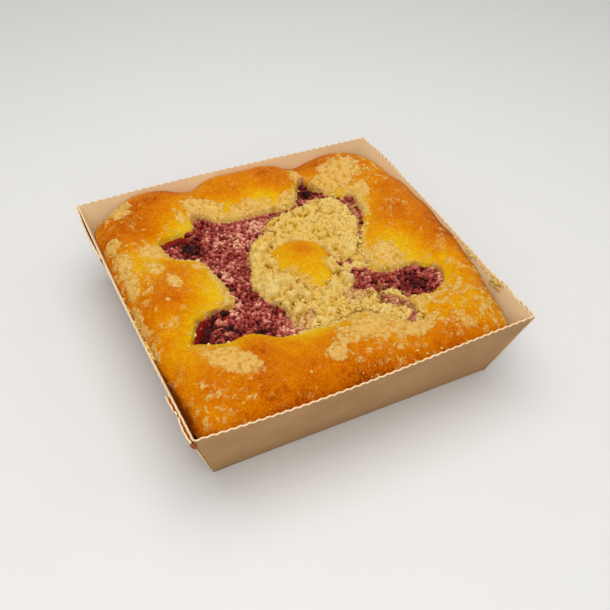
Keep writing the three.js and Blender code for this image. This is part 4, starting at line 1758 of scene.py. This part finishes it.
@dataclass
class BakedSyrup:
    """Juice that ran over at the front left corner: in the tab's slit and down the board's edge."""

    tray: BoardTray
    slit_top: float = 39.7
    drip_at: Tuple[float, float, float] = (-79.4, -79.6, 36.4)
    drip_size: Tuple[float, float, float] = (1.3, 1.2, 3.2)
    strip_cells: int = 90
    flare: float = 0.27

    def build(self) -> None:
        """Builds the syrup in the slit and the drip."""
        place(self.slit_syrup(), "tray_board", [BurntSyrup()])
        place(self.drip(), "tray_board", [BurntSyrup()])

    def slit_syrup(self) -> bpy.types.Object:
        """A strip of syrup between the tab and its wall.

        Returns:
            The strip.
        """
        strip = new_grid("slit_syrup", self.strip_cells, 6)
        share, across = ((points_of(strip)[:, :2] + 1) / 2).T
        from_corner = 0.03 + 0.9 * share
        along = 1 - from_corner * self.tray.front_tab / 160
        sunk = 0.4 * GRAIN.rough(3, 80 * along, across)
        height = self.slit_top + sunk - 0.3 * np.sin(np.pi * across)
        plan = TRAY.point(3, along, height, 0.04 + across * self.tray.slit_width(from_corner) * 0.5)
        move_points(strip, np.column_stack([plan, height]))
        apply_modifier(strip, "SOLIDIFY", thickness=0.7 * MM, offset=-1.0)
        shade(strip, 60)
        return strip

    def drip(self) -> bpy.types.Object:
        """A drip that ran down the tray's corner and baked on.

        Returns:
            The drip.
        """
        bpy.ops.object.select_all(action="DESELECT")
        bpy.ops.mesh.primitive_uv_sphere_add(segments=24, ring_count=18, radius=MM)
        drip = named("corner_drip")
        ball = points_of(drip)
        lumpy = 1 + 0.35 * GRAIN.rough(1.1, *ball.T)
        taper = 0.75 + 0.35 * ball[:, 2:]
        narrowed = np.hstack([taper, taper, np.ones_like(taper)])
        points = ball * lumpy[:, None] * np.array(self.drip_size) * narrowed
        lean = np.array([self.flare, self.flare, 0.0]) * points[:, 2:]
        move_points(drip, points - lean + np.array(self.drip_at))
        shade(drip)
        return drip


# The cake


@dataclass
class CakeCrust:
    """The baked dough: four flaps, the knob between them, and the crumbs baked on."""

    cells: int = 296
    side_rows: int = 5
    foot: float = 1.0

    def build(self) -> None:
        """Builds the dough from one grid and closes it below."""
        crust = new_grid("cake_crust", self.cells, self.cells)
        self.lay_out(crust)
        self.close(crust)
        self.mark(crust)
        shade(crust)
        place(crust, "cake_crust", [BakedCrust()], "cake")

    def lay_out(self, crust: bpy.types.Object) -> None:
        """Spreads the grid to the crust's outline and raises it.

        Args:
            crust: The grid, two millimetres wide.
        """
        grid = points_of(crust)
        share = np.max(np.abs(grid[:, :2]), axis=1)
        bearing = np.arctan2(grid[:, 1], grid[:, 0])
        x, y = self.plan_at(bearing, share, PLAN.crust_distance)
        move_points(crust, np.column_stack([x, y, self.height(x, y)]))

    def plan_at(self, bearing: Array, share: Array, distance: Field) -> Tuple[Array, Array]:
        """Points at a share of the way to an outline.

        Args:
            bearing: Their bearings from the origin.
            share: Share of the way out.
            distance: Distance from the outline.

        Returns:
            Their coordinates in the plan.
        """
        turns = np.linspace(-np.pi, np.pi, 1441)
        reach = np.interp(bearing, turns, outline_reach(distance, turns, 55, 118))
        return share * reach * np.cos(bearing), share * reach * np.sin(bearing)

    @staticmethod
    def height(x: Array, y: Array) -> Array:
        """Height of the dough, with its lip, pocket, knob and baked-on crumbs.

        Args:
            x: Coordinates along the front wall.
            y: Coordinates towards the back.

        Returns:
            Height of each point.
        """
        torn = PLAN.torn_distance(x, y)
        flap = PLAN.bare_crust_height(x, y) + CakeCrust.relief(x, y)
        level = flap + (PLAN.pocket_floor - flap) * ease(0.6, -2.2, torn)
        return np.maximum(level, PLAN.knob_height(x, y))

    @staticmethod
    def relief(x: Array, y: Array) -> Array:
        """Low relief: slow swells, fine wrinkles and baked-on crumbs.

        Args:
            x: Coordinates along the front wall.
            y: Coordinates towards the back.

        Returns:
            Height over the bare crust.
        """
        swell = 0.5 * GRAIN.rough(14, x, y, 0.0, 2) + 0.12 * GRAIN.rough(3.2, x, y, 0.5)
        lumps, _ = GRAIN.crumbs(1.9, x, y)
        smeared = PLAN.patch_share(x, y, PatchKind.SMEARED)
        crumbs = ease(-0.1, 0.3, PLAN.crumb_share(x, y)) * PLAN.patch_rise
        crumbs = crumbs * (0.6 + 2.4 * lumps) * (1 - 0.75 * smeared)
        near_lip = ease(4.0, 1.0, PLAN.opening_distance(x, y))
        crumbs += 0.9 * lumps * np.clip(total(PLAN.stains, x, y), 0, 1) * near_lip
        return swell + crumbs * ease(0.0, 3.0, -PLAN.crust_distance(x, y))

    def close(self, crust: bpy.types.Object) -> None:
        """Extrudes the edge down to the foot and closes the underside.

        Args:
            crust: The laid out crust.
        """
        activate(crust)
        bpy.ops.object.mode_set(mode="EDIT")
        bpy.ops.mesh.select_mode(type="EDGE")
        bpy.ops.mesh.select_all(action="DESELECT")
        bpy.ops.mesh.select_non_manifold()
        for _ in range(self.side_rows):
            bpy.ops.mesh.extrude_edges_move(TRANSFORM_OT_translate={"value": (0, 0, -100 * MM)})
        bpy.ops.mesh.edge_face_add()
        bpy.ops.object.mode_set(mode="OBJECT")
        points = points_of(crust)
        row = np.clip(np.floor((100 - points[:, 2]) / 100), 0, self.side_rows).astype(int)
        side = row > 0
        share = (row[side] / self.side_rows) ** 1.2
        top = points[side, 2] + 100 * row[side]
        bearing = np.arctan2(points[side, 1], points[side, 0])
        foot_x, foot_y = self.plan_at(bearing, np.ones(side.sum()), self.foot_distance)
        points[side, 0] += share * (foot_x - points[side, 0])
        points[side, 1] += share * (foot_y - points[side, 1])
        points[side, 2] = top + share * (self.foot - top)
        move_points(crust, points)

    def foot_distance(self, x: Array, y: Array) -> Array:
        """Distance from the cake's foot, just inside the tray."""
        return TRAY.distance(x, y, np.full(x.shape, self.foot), TRAY.board + PLAN.gap)

    def mark(self, crust: bpy.types.Object) -> None:
        """Keeps browning, crumbs and juice stains for the finish.

        Args:
            crust: The finished mesh.
        """
        x, y, z = points_of(crust).T
        torn = PLAN.torn_distance(x, y)
        on_knob = ease(1.3, 1.15, PLAN.knob_share(x, y))
        edge = ease(36.5, 32.0, z) * ease(-0.5, 0.8, torn)
        knob_spot = 0.34 * np.exp(-((x - 7) ** 2 + (y - 5) ** 2) / 40)
        knob_brown = 0.3 + knob_spot - 0.16 * ease(-6, -18, y) - 0.08 * ease(-2, -8, x)
        browning = PLAN.browning(x, y) + 0.14 * edge
        set_share(crust, "browning", browning + (knob_brown - browning) * on_knob)
        knob_crumb = np.minimum(total(PLAN.knob_crumbs, x, y) - 0.5 + 0.5 * GRAIN.rough(2.5, x, y, 5.0), 0.06)
        crumb = PLAN.crumb_share(x, y)
        set_share(crust, "crumb", crumb + (knob_crumb - crumb) * on_knob)
        # Height of the baked-on crumbs: the finish draws them paler on their lumps, with painted shade
        # between.
        set_share(crust, "lumps", GRAIN.crumbs(1.9, x, y)[0])
        set_share(crust, "scorch_and_gap_shade", PLAN.scorch_and_gap_shade(x, y))
        soaked_foot = 1.2 * ease(34.4, 33.0, z) * ease(1.0, -0.5, torn)
        stained = total(PLAN.stains, x, y) * ease(2.6, 0.4, torn) + soaked_foot
        set_share(crust, "stain", stained * (1 - on_knob))


# The filling and the crumble


@dataclass(frozen=True)
class Granules:
    """Relief of packed crumbs, coarse in some places and fine elsewhere."""

    coarse: float
    fine: float
    deep: float
    coarse_at: Tuple[Spot, ...]

    def relief(self, x: Array, y: Array) -> Tuple[Array, Array]:
        """The relief of the crumbs and what sets each apart.

        Args:
            x: Coordinates along the front wall.
            y: Coordinates towards the back.

        Returns:
            Height over the gaps in millimetres, and each crumb's own draw from 0 to 1.
        """
        share = ease(0.0, 0.9, total(self.coarse_at, x, y) + 0.3 * GRAIN.rough(5, x, y, 12.0))
        large, large_draw = GRAIN.crumbs(self.coarse, x, y)
        small, small_draw = GRAIN.crumbs(self.fine, x + 31, y - 17)
        tiny, _ = GRAIN.crumbs(self.fine * 0.5, x - 13, y + 29)
        weights = 0.16 + 0.64 * share, 0.6 - 0.28 * share, 0.24 - 0.08 * share
        height = self.deep * (weights[0] * large + weights[1] * small + weights[2] * tiny)
        return height, 0.5 + (large_draw - 0.5) * share + 0.45 * (small_draw - 0.5)


@dataclass
class CrumbLayer:
    """A layer of crumbs: a core with their relief, and loose ones on top."""

    kit: CrumbKit
    small_kit: CrumbKit
    spacing: float = 0.4
    cut: float = 29.0
    half: float = 64.0

    def painted_shade(self, x: Array, y: Array) -> Array:
        """Painted shade: how much darker than its crumbs the core is drawn at each place."""
        return np.zeros(x.shape)

    def down_slopes(self, x: Array, y: Array, height: Array) -> Tuple[Array, Array]:
        """Where crumbs are read from, so that a slope that falls to the front doesn't draw them out.

        Args:
            x: Coordinates along the front wall.
            y: Coordinates towards the back.
            height: Height of the layer.

        Returns:
            Coordinates that run on down the slopes.
        """
        above = np.maximum(height, self.cut)
        return x + 0.5 * above, y + 0.8 * above

    def core(self, name: str, level: Field, granules: Granules, relief_share: Field) -> bpy.types.Object:
        """A closed core, cut off flat below.

        Args:
            name: Name of the piece.
            level: Height of the gaps between crumbs, below the cut outside the layer.
            granules: The crumbs in its surface.
            relief_share: How far they stand out at each place.

        Returns:
            The core, with what its finish reads.
        """
        cells = round(2 * self.half / self.spacing)
        core = new_grid(name, cells, cells, self.half)
        points = points_of(core)
        x, y, _ = points.T
        height = level(x, y)
        rise, _ = granules.relief(*self.down_slopes(x, y, height))
        points[:, 2] = height + rise * relief_share(x, y)
        move_points(core, points)
        cut_below(core, self.cut)
        x, y, _ = points_of(core).T
        rise, draw = granules.relief(*self.down_slopes(x, y, level(x, y)))
        # Paler on the crumbs' crests and darker in their gaps and creases: partly their own colour, partly
        # painted shade.
        set_share(core, "tops_and_shade", 1.35 * rise / granules.deep - 0.12 - self.painted_shade(x, y))
        set_share(core, "soak", PLAN.soak(x, y) * ease(0.8, -0.4, PLAN.torn_distance(x, y)))
        near_knob = 0.3 * ease(1.9, 1.1, PLAN.knob_share(x, y))
        set_share(core, "tint", 0.4 * draw + 0.45 + near_knob + 0.4 * GRAIN.rough(7, x, y, 11.0))
        # Own paleness, with painted shade in the hollows and along the lips.
        set_share(core, "pale", 0.9 * (draw - 0.5) + total(PLAN.pale_crumbs_and_hollow_shade, x, y))
        shade(core)
        return core

    def strewn(self, scatter: Scatter, name: str, kit: CrumbKit, lying: Lying) -> bpy.types.Object:
        """Loose crumbs, shaded soft but for their broken edges.

        Args:
            scatter: Where they lie.
            name: Name of the piece.
            kit: Crumbs to copy.
            lying: How they lie.

        Returns:
            The loose crumbs.
        """
        piece = scatter.mesh(name, kit, lying)
        shade(piece, 35)
        return piece


def in_opening(x: Array, y: Array, clear: float) -> Array:
    """Whether a place is in the opening, this far clear of its wall and of the knob."""
    return (PLAN.opening_distance(x, y) < -clear) & (PLAN.knob_share(x, y) > 1.0)


@dataclass
class BerryFilling(CrumbLayer):
    """Crumbs soaked with juice, and bare jam in the arms of the opening."""

    jam_depth: float = 1.0
    jam_cells: int = 190
    granules: Granules = Granules(3.4, 1.5, 2.2, PLAN.coarse_filling)
    pools: Tuple[Stretch, ...] = (
        Stretch((-49, 40), (-41, 40.5), 2.6, 2.2, 0.0),
        Stretch((-53, -20), (-56, -27), 4.2, 3.4, 0.0),
    )

    def build(self) -> None:
        """Builds the core, the loose soaked crumbs and the jam."""
        finish = [CrumbFinish("soaked_crumb", 0.45)]
        core = self.core("soaked_filling", self.bed_height, self.granules, self.relief_share)
        place(core, "fruit_filling", finish, "fruit_filling")
        larger = Strewing(3.0, 0.7, 1.8, 0.3, 0.3, 22).over(self.likely, self.loose_level)
        smaller = Strewing(2.6, 0.35, 0.8, 0.4, 0.2, 23).over(self.likely, self.loose_level)
        place(self.strewn(larger, "soaked_crumbs", self.kit, Lying()), "fruit_filling", finish)
        place(self.strewn(smaller, "soaked_fines", self.small_kit, Lying(1.0)), "fruit_filling", finish)
        self.jam()

    def likely(self, x: Array, y: Array) -> Array:
        """Where loose soaked crumbs lie: in the opening, in clumps, and few in the pools.

        Args:
            x: Coordinates along the front wall.
            y: Coordinates towards the back.

        Returns:
            How likely a crumb is at each place.
        """
        wet = PLAN.dry_distance(x, y) > -4
        clear = 0.1 + 0.9 * ease(-0.8, 0.8, self.pool_distance(x, y))
        clumps = 0.35 + 0.65 * ease(-0.2, 0.4, GRAIN.rough(9, x, y, 17.0))
        return in_opening(x, y, 0.0) * wet * clear * clumps

    def loose_level(self, x: Array, y: Array) -> Array:
        """Height that loose crumbs lie at."""
        return self.bed_height(x, y) + 0.5 * self.granules.deep

    def pool_distance(self, x: Array, y: Array) -> Array:
        """Distance from the pools of jam, negative inside them."""
        return np.min([pool.distance(x, y) for pool in self.pools], axis=0) + 0.5 * GRAIN.rough(3, x, y, 2.0)

    def relief_share(self, x: Array, y: Array) -> Array:
        """How far crumbs stand out: less in the pools."""
        return ease(-1.5, 1.0, self.pool_distance(x, y))

    def bed_height(self, x: Array, y: Array) -> Array:
        """Height of the gaps between crumbs, below the cut outside the opening and low under the heap.

        Args:
            x: Coordinates along the front wall.
            y: Coordinates towards the back.

        Returns:
            Height over the floor.
        """
        outside = ease(0.0, 1.6, PLAN.opening_distance(x, y))
        under = ease(-5.0, -8.0, PLAN.dry_distance(x, y))
        pool = 1.3 * ease(1.0, -1.0, self.pool_distance(x, y))
        return PLAN.filling_height(x, y) - 0.4 - pool - 9 * outside - 3 * under

    def jam(self) -> None:
        """Bare jam that lies in the pools."""
        jam = new_grid("berry_jam", self.jam_cells, self.jam_cells, self.half)
        points = points_of(jam)
        x, y, _ = points.T
        away = self.pool_distance(x, y)
        climb = 1.8 * ease(-5.0, 1.0, PLAN.opening_distance(x, y)) + 0.5 * GRAIN.rough(3, x, y, 7.0)
        points[:, 2] = PLAN.filling_height(x, y) - self.jam_depth + climb - 2.5 * ease(0.0, 2.2, away)
        move_points(jam, points)
        activate(jam)
        bpy.ops.object.mode_set(mode="EDIT")
        bpy.ops.mesh.select_mode(type="VERT")
        bpy.ops.mesh.select_all(action="DESELECT")
        bpy.ops.object.mode_set(mode="OBJECT")
        outside = PLAN.opening_distance(x, y) > 1.2
        jam.data.vertices.foreach_set("select", (away > 2.2) | outside)
        bpy.ops.object.mode_set(mode="EDIT")
        bpy.ops.mesh.delete(type="VERT")
        bpy.ops.object.mode_set(mode="OBJECT")
        apply_modifier(jam, "SOLIDIFY", thickness=1.2 * MM, offset=-1.0)
        x, y, _ = points_of(jam).T
        deep = ease(0.4, -5.0, PLAN.opening_distance(x, y))
        set_share(jam, "deep", deep)
        shade(jam)
        place(jam, "fruit_filling", [Jam()])


@dataclass
class CrumbleHeap(CrumbLayer):
    """Dry crumble: clods, crumbs and fine crumbs, heaped round the knob."""

    spacing: float = 0.3
    granules: Granules = Granules(3.1, 1.5, 2.7, PLAN.coarse_crumble)

    def build(self) -> None:
        """Builds the heap, which spreads onto the crumbly lips of the flaps, and its loose crumbs."""
        finish = [CrumbFinish("crumble", 0.25)]
        core = self.core("crumble_heap", self.bed_height, self.granules, self.relief_share)
        place(core, "crumble", finish, "crumble_topping")
        larger = Strewing(2.5, 0.5, 1.35, 0.2, 0.25, 33).over(self.likely, self.loose_level)
        smaller = Strewing(2.6, 0.35, 0.75, 0.25, 0.2, 34).over(self.likely, self.loose_level)
        place(self.strewn(larger, "crumble_crumbs", self.kit, Lying()), "crumble", finish)
        place(self.strewn(smaller, "crumble_fines", self.small_kit, Lying(1.0)), "crumble", finish)

    def likely(self, x: Array, y: Array) -> Array:
        """Where loose crumbs lie: on the heap in clumps, short of the knob.

        Args:
            x: Coordinates along the front wall.
            y: Coordinates towards the back.

        Returns:
            How likely a crumb is at each place.
        """
        inside = (PLAN.dry_distance(x, y) < 0.8) & (PLAN.opening_distance(x, y) < 1.5)
        clumps = 0.25 + 0.75 * ease(-0.1, 0.5, GRAIN.rough(8, x, y, 19.0))
        crumbly = np.clip(total(PLAN.knob_crumbs, x, y), 0, 1)
        clear = PLAN.knob_share(x, y) + 0.12 * GRAIN.rough(5, x, y, 4.0) > 0.96 - 0.36 * crumbly
        return inside * np.maximum(clumps, 1.2 * crumbly) * clear * (self.clod_rise(x, y) < 0.4)

    def surface(self, x: Array, y: Array) -> Array:
        """Height of the heap: it slopes down to the filling and up to the lips.

        Args:
            x: Coordinates along the front wall.
            y: Coordinates towards the back.

        Returns:
            Height over the floor.
        """
        away = PLAN.dry_distance(x, y)
        low = PLAN.filling_height(x, y)
        slope = ease(-4.5, 0.6, away) * np.maximum(PLAN.heap_height(x, y) - low, 0)
        lip = 0.8 * ease(-3.0, 1.0, PLAN.opening_distance(x, y))
        return PLAN.heap_height(x, y) - slope + lip * ease(0, -3, away)

    def clod_form(self, x: Array, y: Array) -> Tuple[Array, Array]:
        """The clods on the heap.

        Args:
            x: Coordinates along the front wall.
            y: Coordinates towards the back.

        Returns:
            Their rise over the heap, and how deep in the crease at a clod's foot each point is, from 0 to 1.
        """
        found = np.zeros(x.shape)
        crease = np.zeros(x.shape)
        for clod in PLAN.clods:
            near = np.hypot(x - clod.at[0], y - clod.at[1]) < 2 * clod.spread
            near_x, near_y = x[near], y[near]
            away = np.hypot(near_x - clod.at[0], near_y - clod.at[1]) / clod.spread
            away = away + 0.5 * GRAIN.rough(0.9 * clod.spread, near_x, near_y, clod.at[0])
            dome = (1 - np.clip(away, 0, 1) ** 2.2) ** 0.85
            rise = 0.86 * clod.rise * dome * (1 + 0.24 * GRAIN.rough(4.2, near_x, near_y, 21.0))
            foot = np.exp(-(((away - 1.06) * clod.spread / 0.9) ** 2))
            before = found[near]
            beside = np.where(before > 0, crease[near], np.maximum(crease[near], foot))
            crease[near] = np.where(rise > before, foot, beside)
            found[near] = np.maximum(before, rise)
        return found, crease

    def clod_rise(self, x: Array, y: Array) -> Array:
        """How far the clods rise over the heap."""
        return self.clod_form(x, y)[0]

    def painted_shade(self, x: Array, y: Array) -> Array:
        """Painted shade in the creases at the feet of the clods, and the clods themselves drawn a little
        lighter.
        """
        rise, crease = self.clod_form(x, y)
        return 0.42 * crease - 0.1 * ease(0.5, 2, rise)

    def loose_level(self, x: Array, y: Array) -> Array:
        """Height that loose crumbs lie at."""
        heap = self.surface(x, y) + self.clod_rise(x, y) + 0.3 * self.granules.deep
        return np.maximum(heap, PLAN.knob_height(x, y) - 0.1)

    def relief_share(self, x: Array, y: Array) -> Array:
        """How far crumbs stand out: less on the clods, where they are fused."""
        return 1 - 0.1 * ease(0.3, 1.5, self.clod_rise(x, y))

    def bed_height(self, x: Array, y: Array) -> Array:
        """Height of the gaps between crumbs, below the cut outside the heap.

        Args:
            x: Coordinates along the front wall.
            y: Coordinates towards the back.

        Returns:
            Height over the floor.
        """
        away = np.maximum(PLAN.dry_distance(x, y), PLAN.opening_distance(x, y))
        gone = ease(-0.6, 1.2, away)
        overlap = 0.3 * np.clip(total(PLAN.knob_covers, x, y), 0, 1) + 0.12 * GRAIN.rough(3.5, x, y, 6.0)
        under_knob = 4 * ease(1.03, 0.88, PLAN.knob_share(x, y) + overlap)
        rise, crease = self.clod_form(x, y)
        return self.surface(x, y) + rise - 0.8 * crease - 0.5 - 9 * gone - under_knob


@dataclass(frozen=True)
class Stuck:
    """Crumbs stuck inside a wall: which wall, where along it, how high, how many and how large."""

    wall: int
    along: Tuple[float, float]
    heights: Tuple[float, float]
    count: int
    sizes: Tuple[float, float]


@dataclass
class BakedOnCrumbs(CrumbLayer):
    """Crumbs that stand up from the crust: in its patches, on the lips and here and there."""

    stuck: Tuple[Stuck, ...] = (
        Stuck(1, (0.135, 0.2), (36.0, 40.5), 46, (0.4, 1.1)),
        Stuck(1, (0.2, 0.42), (37.5, 40.0), 26, (0.3, 0.8)),
        Stuck(3, (0.4, 0.74), (37.6, 39.6), 36, (0.3, 0.8)),
        Stuck(3, (0.65, 0.71), (38.4, 40.4), 14, (0.4, 0.9)),
    )

    def build(self) -> None:
        """Builds the crumbs of the lips and patches, then the small ones and those on the walls."""
        finish = [CrumbFinish("baked_on_crumb", 0.1)]
        on_walls = self.strewn(self.on_walls(), "wall_crumbs", self.small_kit, Lying(0.8, 0.1, 0.1))
        place(on_walls, "cake_crust", finish)
        larger = Strewing(2.3, 0.35, 1.0, 0.0, 0.12, 51).over(self.likely, self.resting)
        smaller = Strewing(1.8, 0.3, 0.7, -0.1, 0.08, 52).over(self.likely_small, self.resting)
        crumbs = self.strewn(larger, "baked_on_crumbs", self.kit, Lying(0.8, 0.2, 0.1))
        place(crumbs, "cake_crust", finish)
        fines = self.strewn(smaller, "baked_on_fines", self.small_kit, Lying(0.7, 0.1, 0.05))
        place(fines, "cake_crust", finish)

    def likely(self, x: Array, y: Array) -> Array:
        """Where larger crumbs lie: on crumbly lips and in crumbly patches.

        Args:
            x: Coordinates along the front wall.
            y: Coordinates towards the back.

        Returns:
            How likely a crumb is at each place.
        """
        lip = np.clip(0.2 + PLAN.lip_crumbliness(x, y), 0, 1)
        band = ease(4.0, 1.0, PLAN.opening_distance(x, y)) * ease(-2.4, -0.8, PLAN.opening_distance(x, y))
        patchy = ease(-0.35, 0.35, GRAIN.rough(4.5, x, y, 13.0))
        patch = 0.25 * patchy * PLAN.patch_share(x, y, PatchKind.CRUMBLY) * (PLAN.opening_distance(x, y) > 0)
        return np.maximum(lip * band, patch) * (PLAN.crust_distance(x, y) < -1.5)

    def likely_small(self, x: Array, y: Array) -> Array:
        """Where small crumbs lie: with the larger ones, and a few everywhere.

        Args:
            x: Coordinates along the front wall.
            y: Coordinates towards the back.

        Returns:
            How likely a crumb is at each place.
        """
        clear = (PLAN.opening_distance(x, y) > -2.0) & (PLAN.crust_distance(x, y) < -0.6)
        front = 0.16 * ease(-70, -75, y) * ease(-12, 0, x) * ease(45, 30, x)
        few = 0.07 * PLAN.crumb_cover(x, y) + front
        return np.maximum(0.8 * self.likely(x, y), few) * clear

    def on_walls(self) -> Scatter:
        """Crumbs stuck to the walls.

        Returns:
            Where they are.
        """
        draw = np.random.default_rng(54)
        places = []
        sizes = []
        for group in self.stuck:
            along = draw.triangular(group.along[0], np.mean(group.along), group.along[1], group.count)
            height = draw.uniform(*group.heights, group.count)
            size = draw.uniform(*group.sizes, group.count)
            plan = TRAY.point(group.wall, along, height, -TRAY.board - 0.5 * size)
            places.append(np.column_stack([plan, height]))
            sizes.append(size)
        return Scatter(np.concatenate(places), np.concatenate(sizes), 54)

    def resting(self, x: Array, y: Array) -> Array:
        """Height that crumbs rest at: the crust, or the heap's edge below its lip."""
        return np.maximum(CakeCrust.height(x, y), PLAN.filling_height(x, y) - 0.5)


# The studio


@dataclass
class Studio:
    """A pale floor, soft light, and a camera where the photograph was taken from."""

    lens: float = 48.29
    sensor: float = 36.0
    camera_at: Tuple[float, float, float] = (-130.213, -262.153, 288.809)
    right: Tuple[float, float, float] = (0.89733186, -0.44045902, 0.02813164)
    down: Tuple[float, float, float] = (-0.28569175, -0.62824923, -0.72365954)
    forward: Tuple[float, float, float] = (0.33641605, 0.64132578, -0.68958356)

    def build(self) -> None:
        """Builds floor, lights and camera."""
        self.floor()
        self.light("key", (-20, 60, 560), 520, 2.3, (1.0, 0.98, 0.95))
        self.light("front", (-240, -440, 460), 460, 1.7, (1.0, 0.99, 0.97))
        self.light("side", (520, -160, 420), 420, 0.4, (1.0, 0.98, 0.96))
        self.world()
        self.camera()
        bpy.context.scene.view_settings.view_transform = "Standard"

    def floor(self) -> None:
        """A floor with soft corners out of view."""
        bpy.ops.object.select_all(action="DESELECT")
        bpy.ops.mesh.primitive_grid_add(x_subdivisions=8, y_subdivisions=8, size=6.0)
        floor = named("studio_floor")
        floor.data.materials.append(StudioPaper().material())

    def light(
        self, name: str, at: Tuple[float, float, float], size: float, watts: float, tint: Sequence[float]
    ) -> None:
        """A square soft box that faces the cake.

        Args:
            name: Its name.
            at: Its place, in millimetres.
            size: Its side, in millimetres.
            watts: Its power.
            tint: Its colour.
        """
        data = bpy.data.lights.new(name, "AREA")
        data.size = size * MM
        data.energy = watts
        data.color = tint
        lamp = bpy.data.objects.new(name, data)
        bpy.context.scene.collection.objects.link(lamp)
        lamp.location = Vector(at) * MM
        lamp.rotation_mode = "QUATERNION"
        lamp.rotation_quaternion = (Vector((0, 0, 0.03)) - lamp.location).to_track_quat("-Z", "Y")

    def world(self) -> None:
        """Even, soft light from all round."""
        world = bpy.data.worlds.new("studio")
        world.use_nodes = True
        background = world.node_tree.nodes["Background"]
        background.inputs["Color"].default_value = (1.0, 1.0, 1.0, 1.0)
        background.inputs["Strength"].default_value = 0.55
        bpy.context.scene.world = world

    def camera(self) -> None:
        """The camera, turned as the photograph was."""
        data = bpy.data.cameras.new("camera")
        data.lens = self.lens
        data.sensor_width = self.sensor
        data.clip_start = 0.01
        data.clip_end = 20
        camera = bpy.data.objects.new("camera", data)
        bpy.context.scene.collection.objects.link(camera)
        up, back = [[-value for value in axis] for axis in (self.down, self.forward)]
        turn = Matrix((self.right, up, back)).transposed()
        camera.matrix_world = Matrix.Translation(Vector(self.camera_at) * MM) @ turn.to_4x4()
        bpy.context.scene.camera = camera


def main() -> None:
    """Builds the tray, the cake, what lies in and on it, and the studio."""
    logging.basicConfig(level=logging.INFO, format="%(name)s: %(message)s")
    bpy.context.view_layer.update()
    kit = CrumbKit().prepare()
    small_kit = CrumbKit(cuts=1, ball=1, uneven=0.25, seed=40).prepare()
    layers = (BerryFilling(kit, small_kit), CrumbleHeap(kit, small_kit), BakedOnCrumbs(kit, small_kit))
    tray = BoardTray()
    for sub_assembly in (tray, BakedSyrup(tray), CakeCrust(), *layers, Studio()):
        sub_assembly.build()
        LOG.info("%s is done", type(sub_assembly).__name__)


if __name__ == "__main__":
    main()
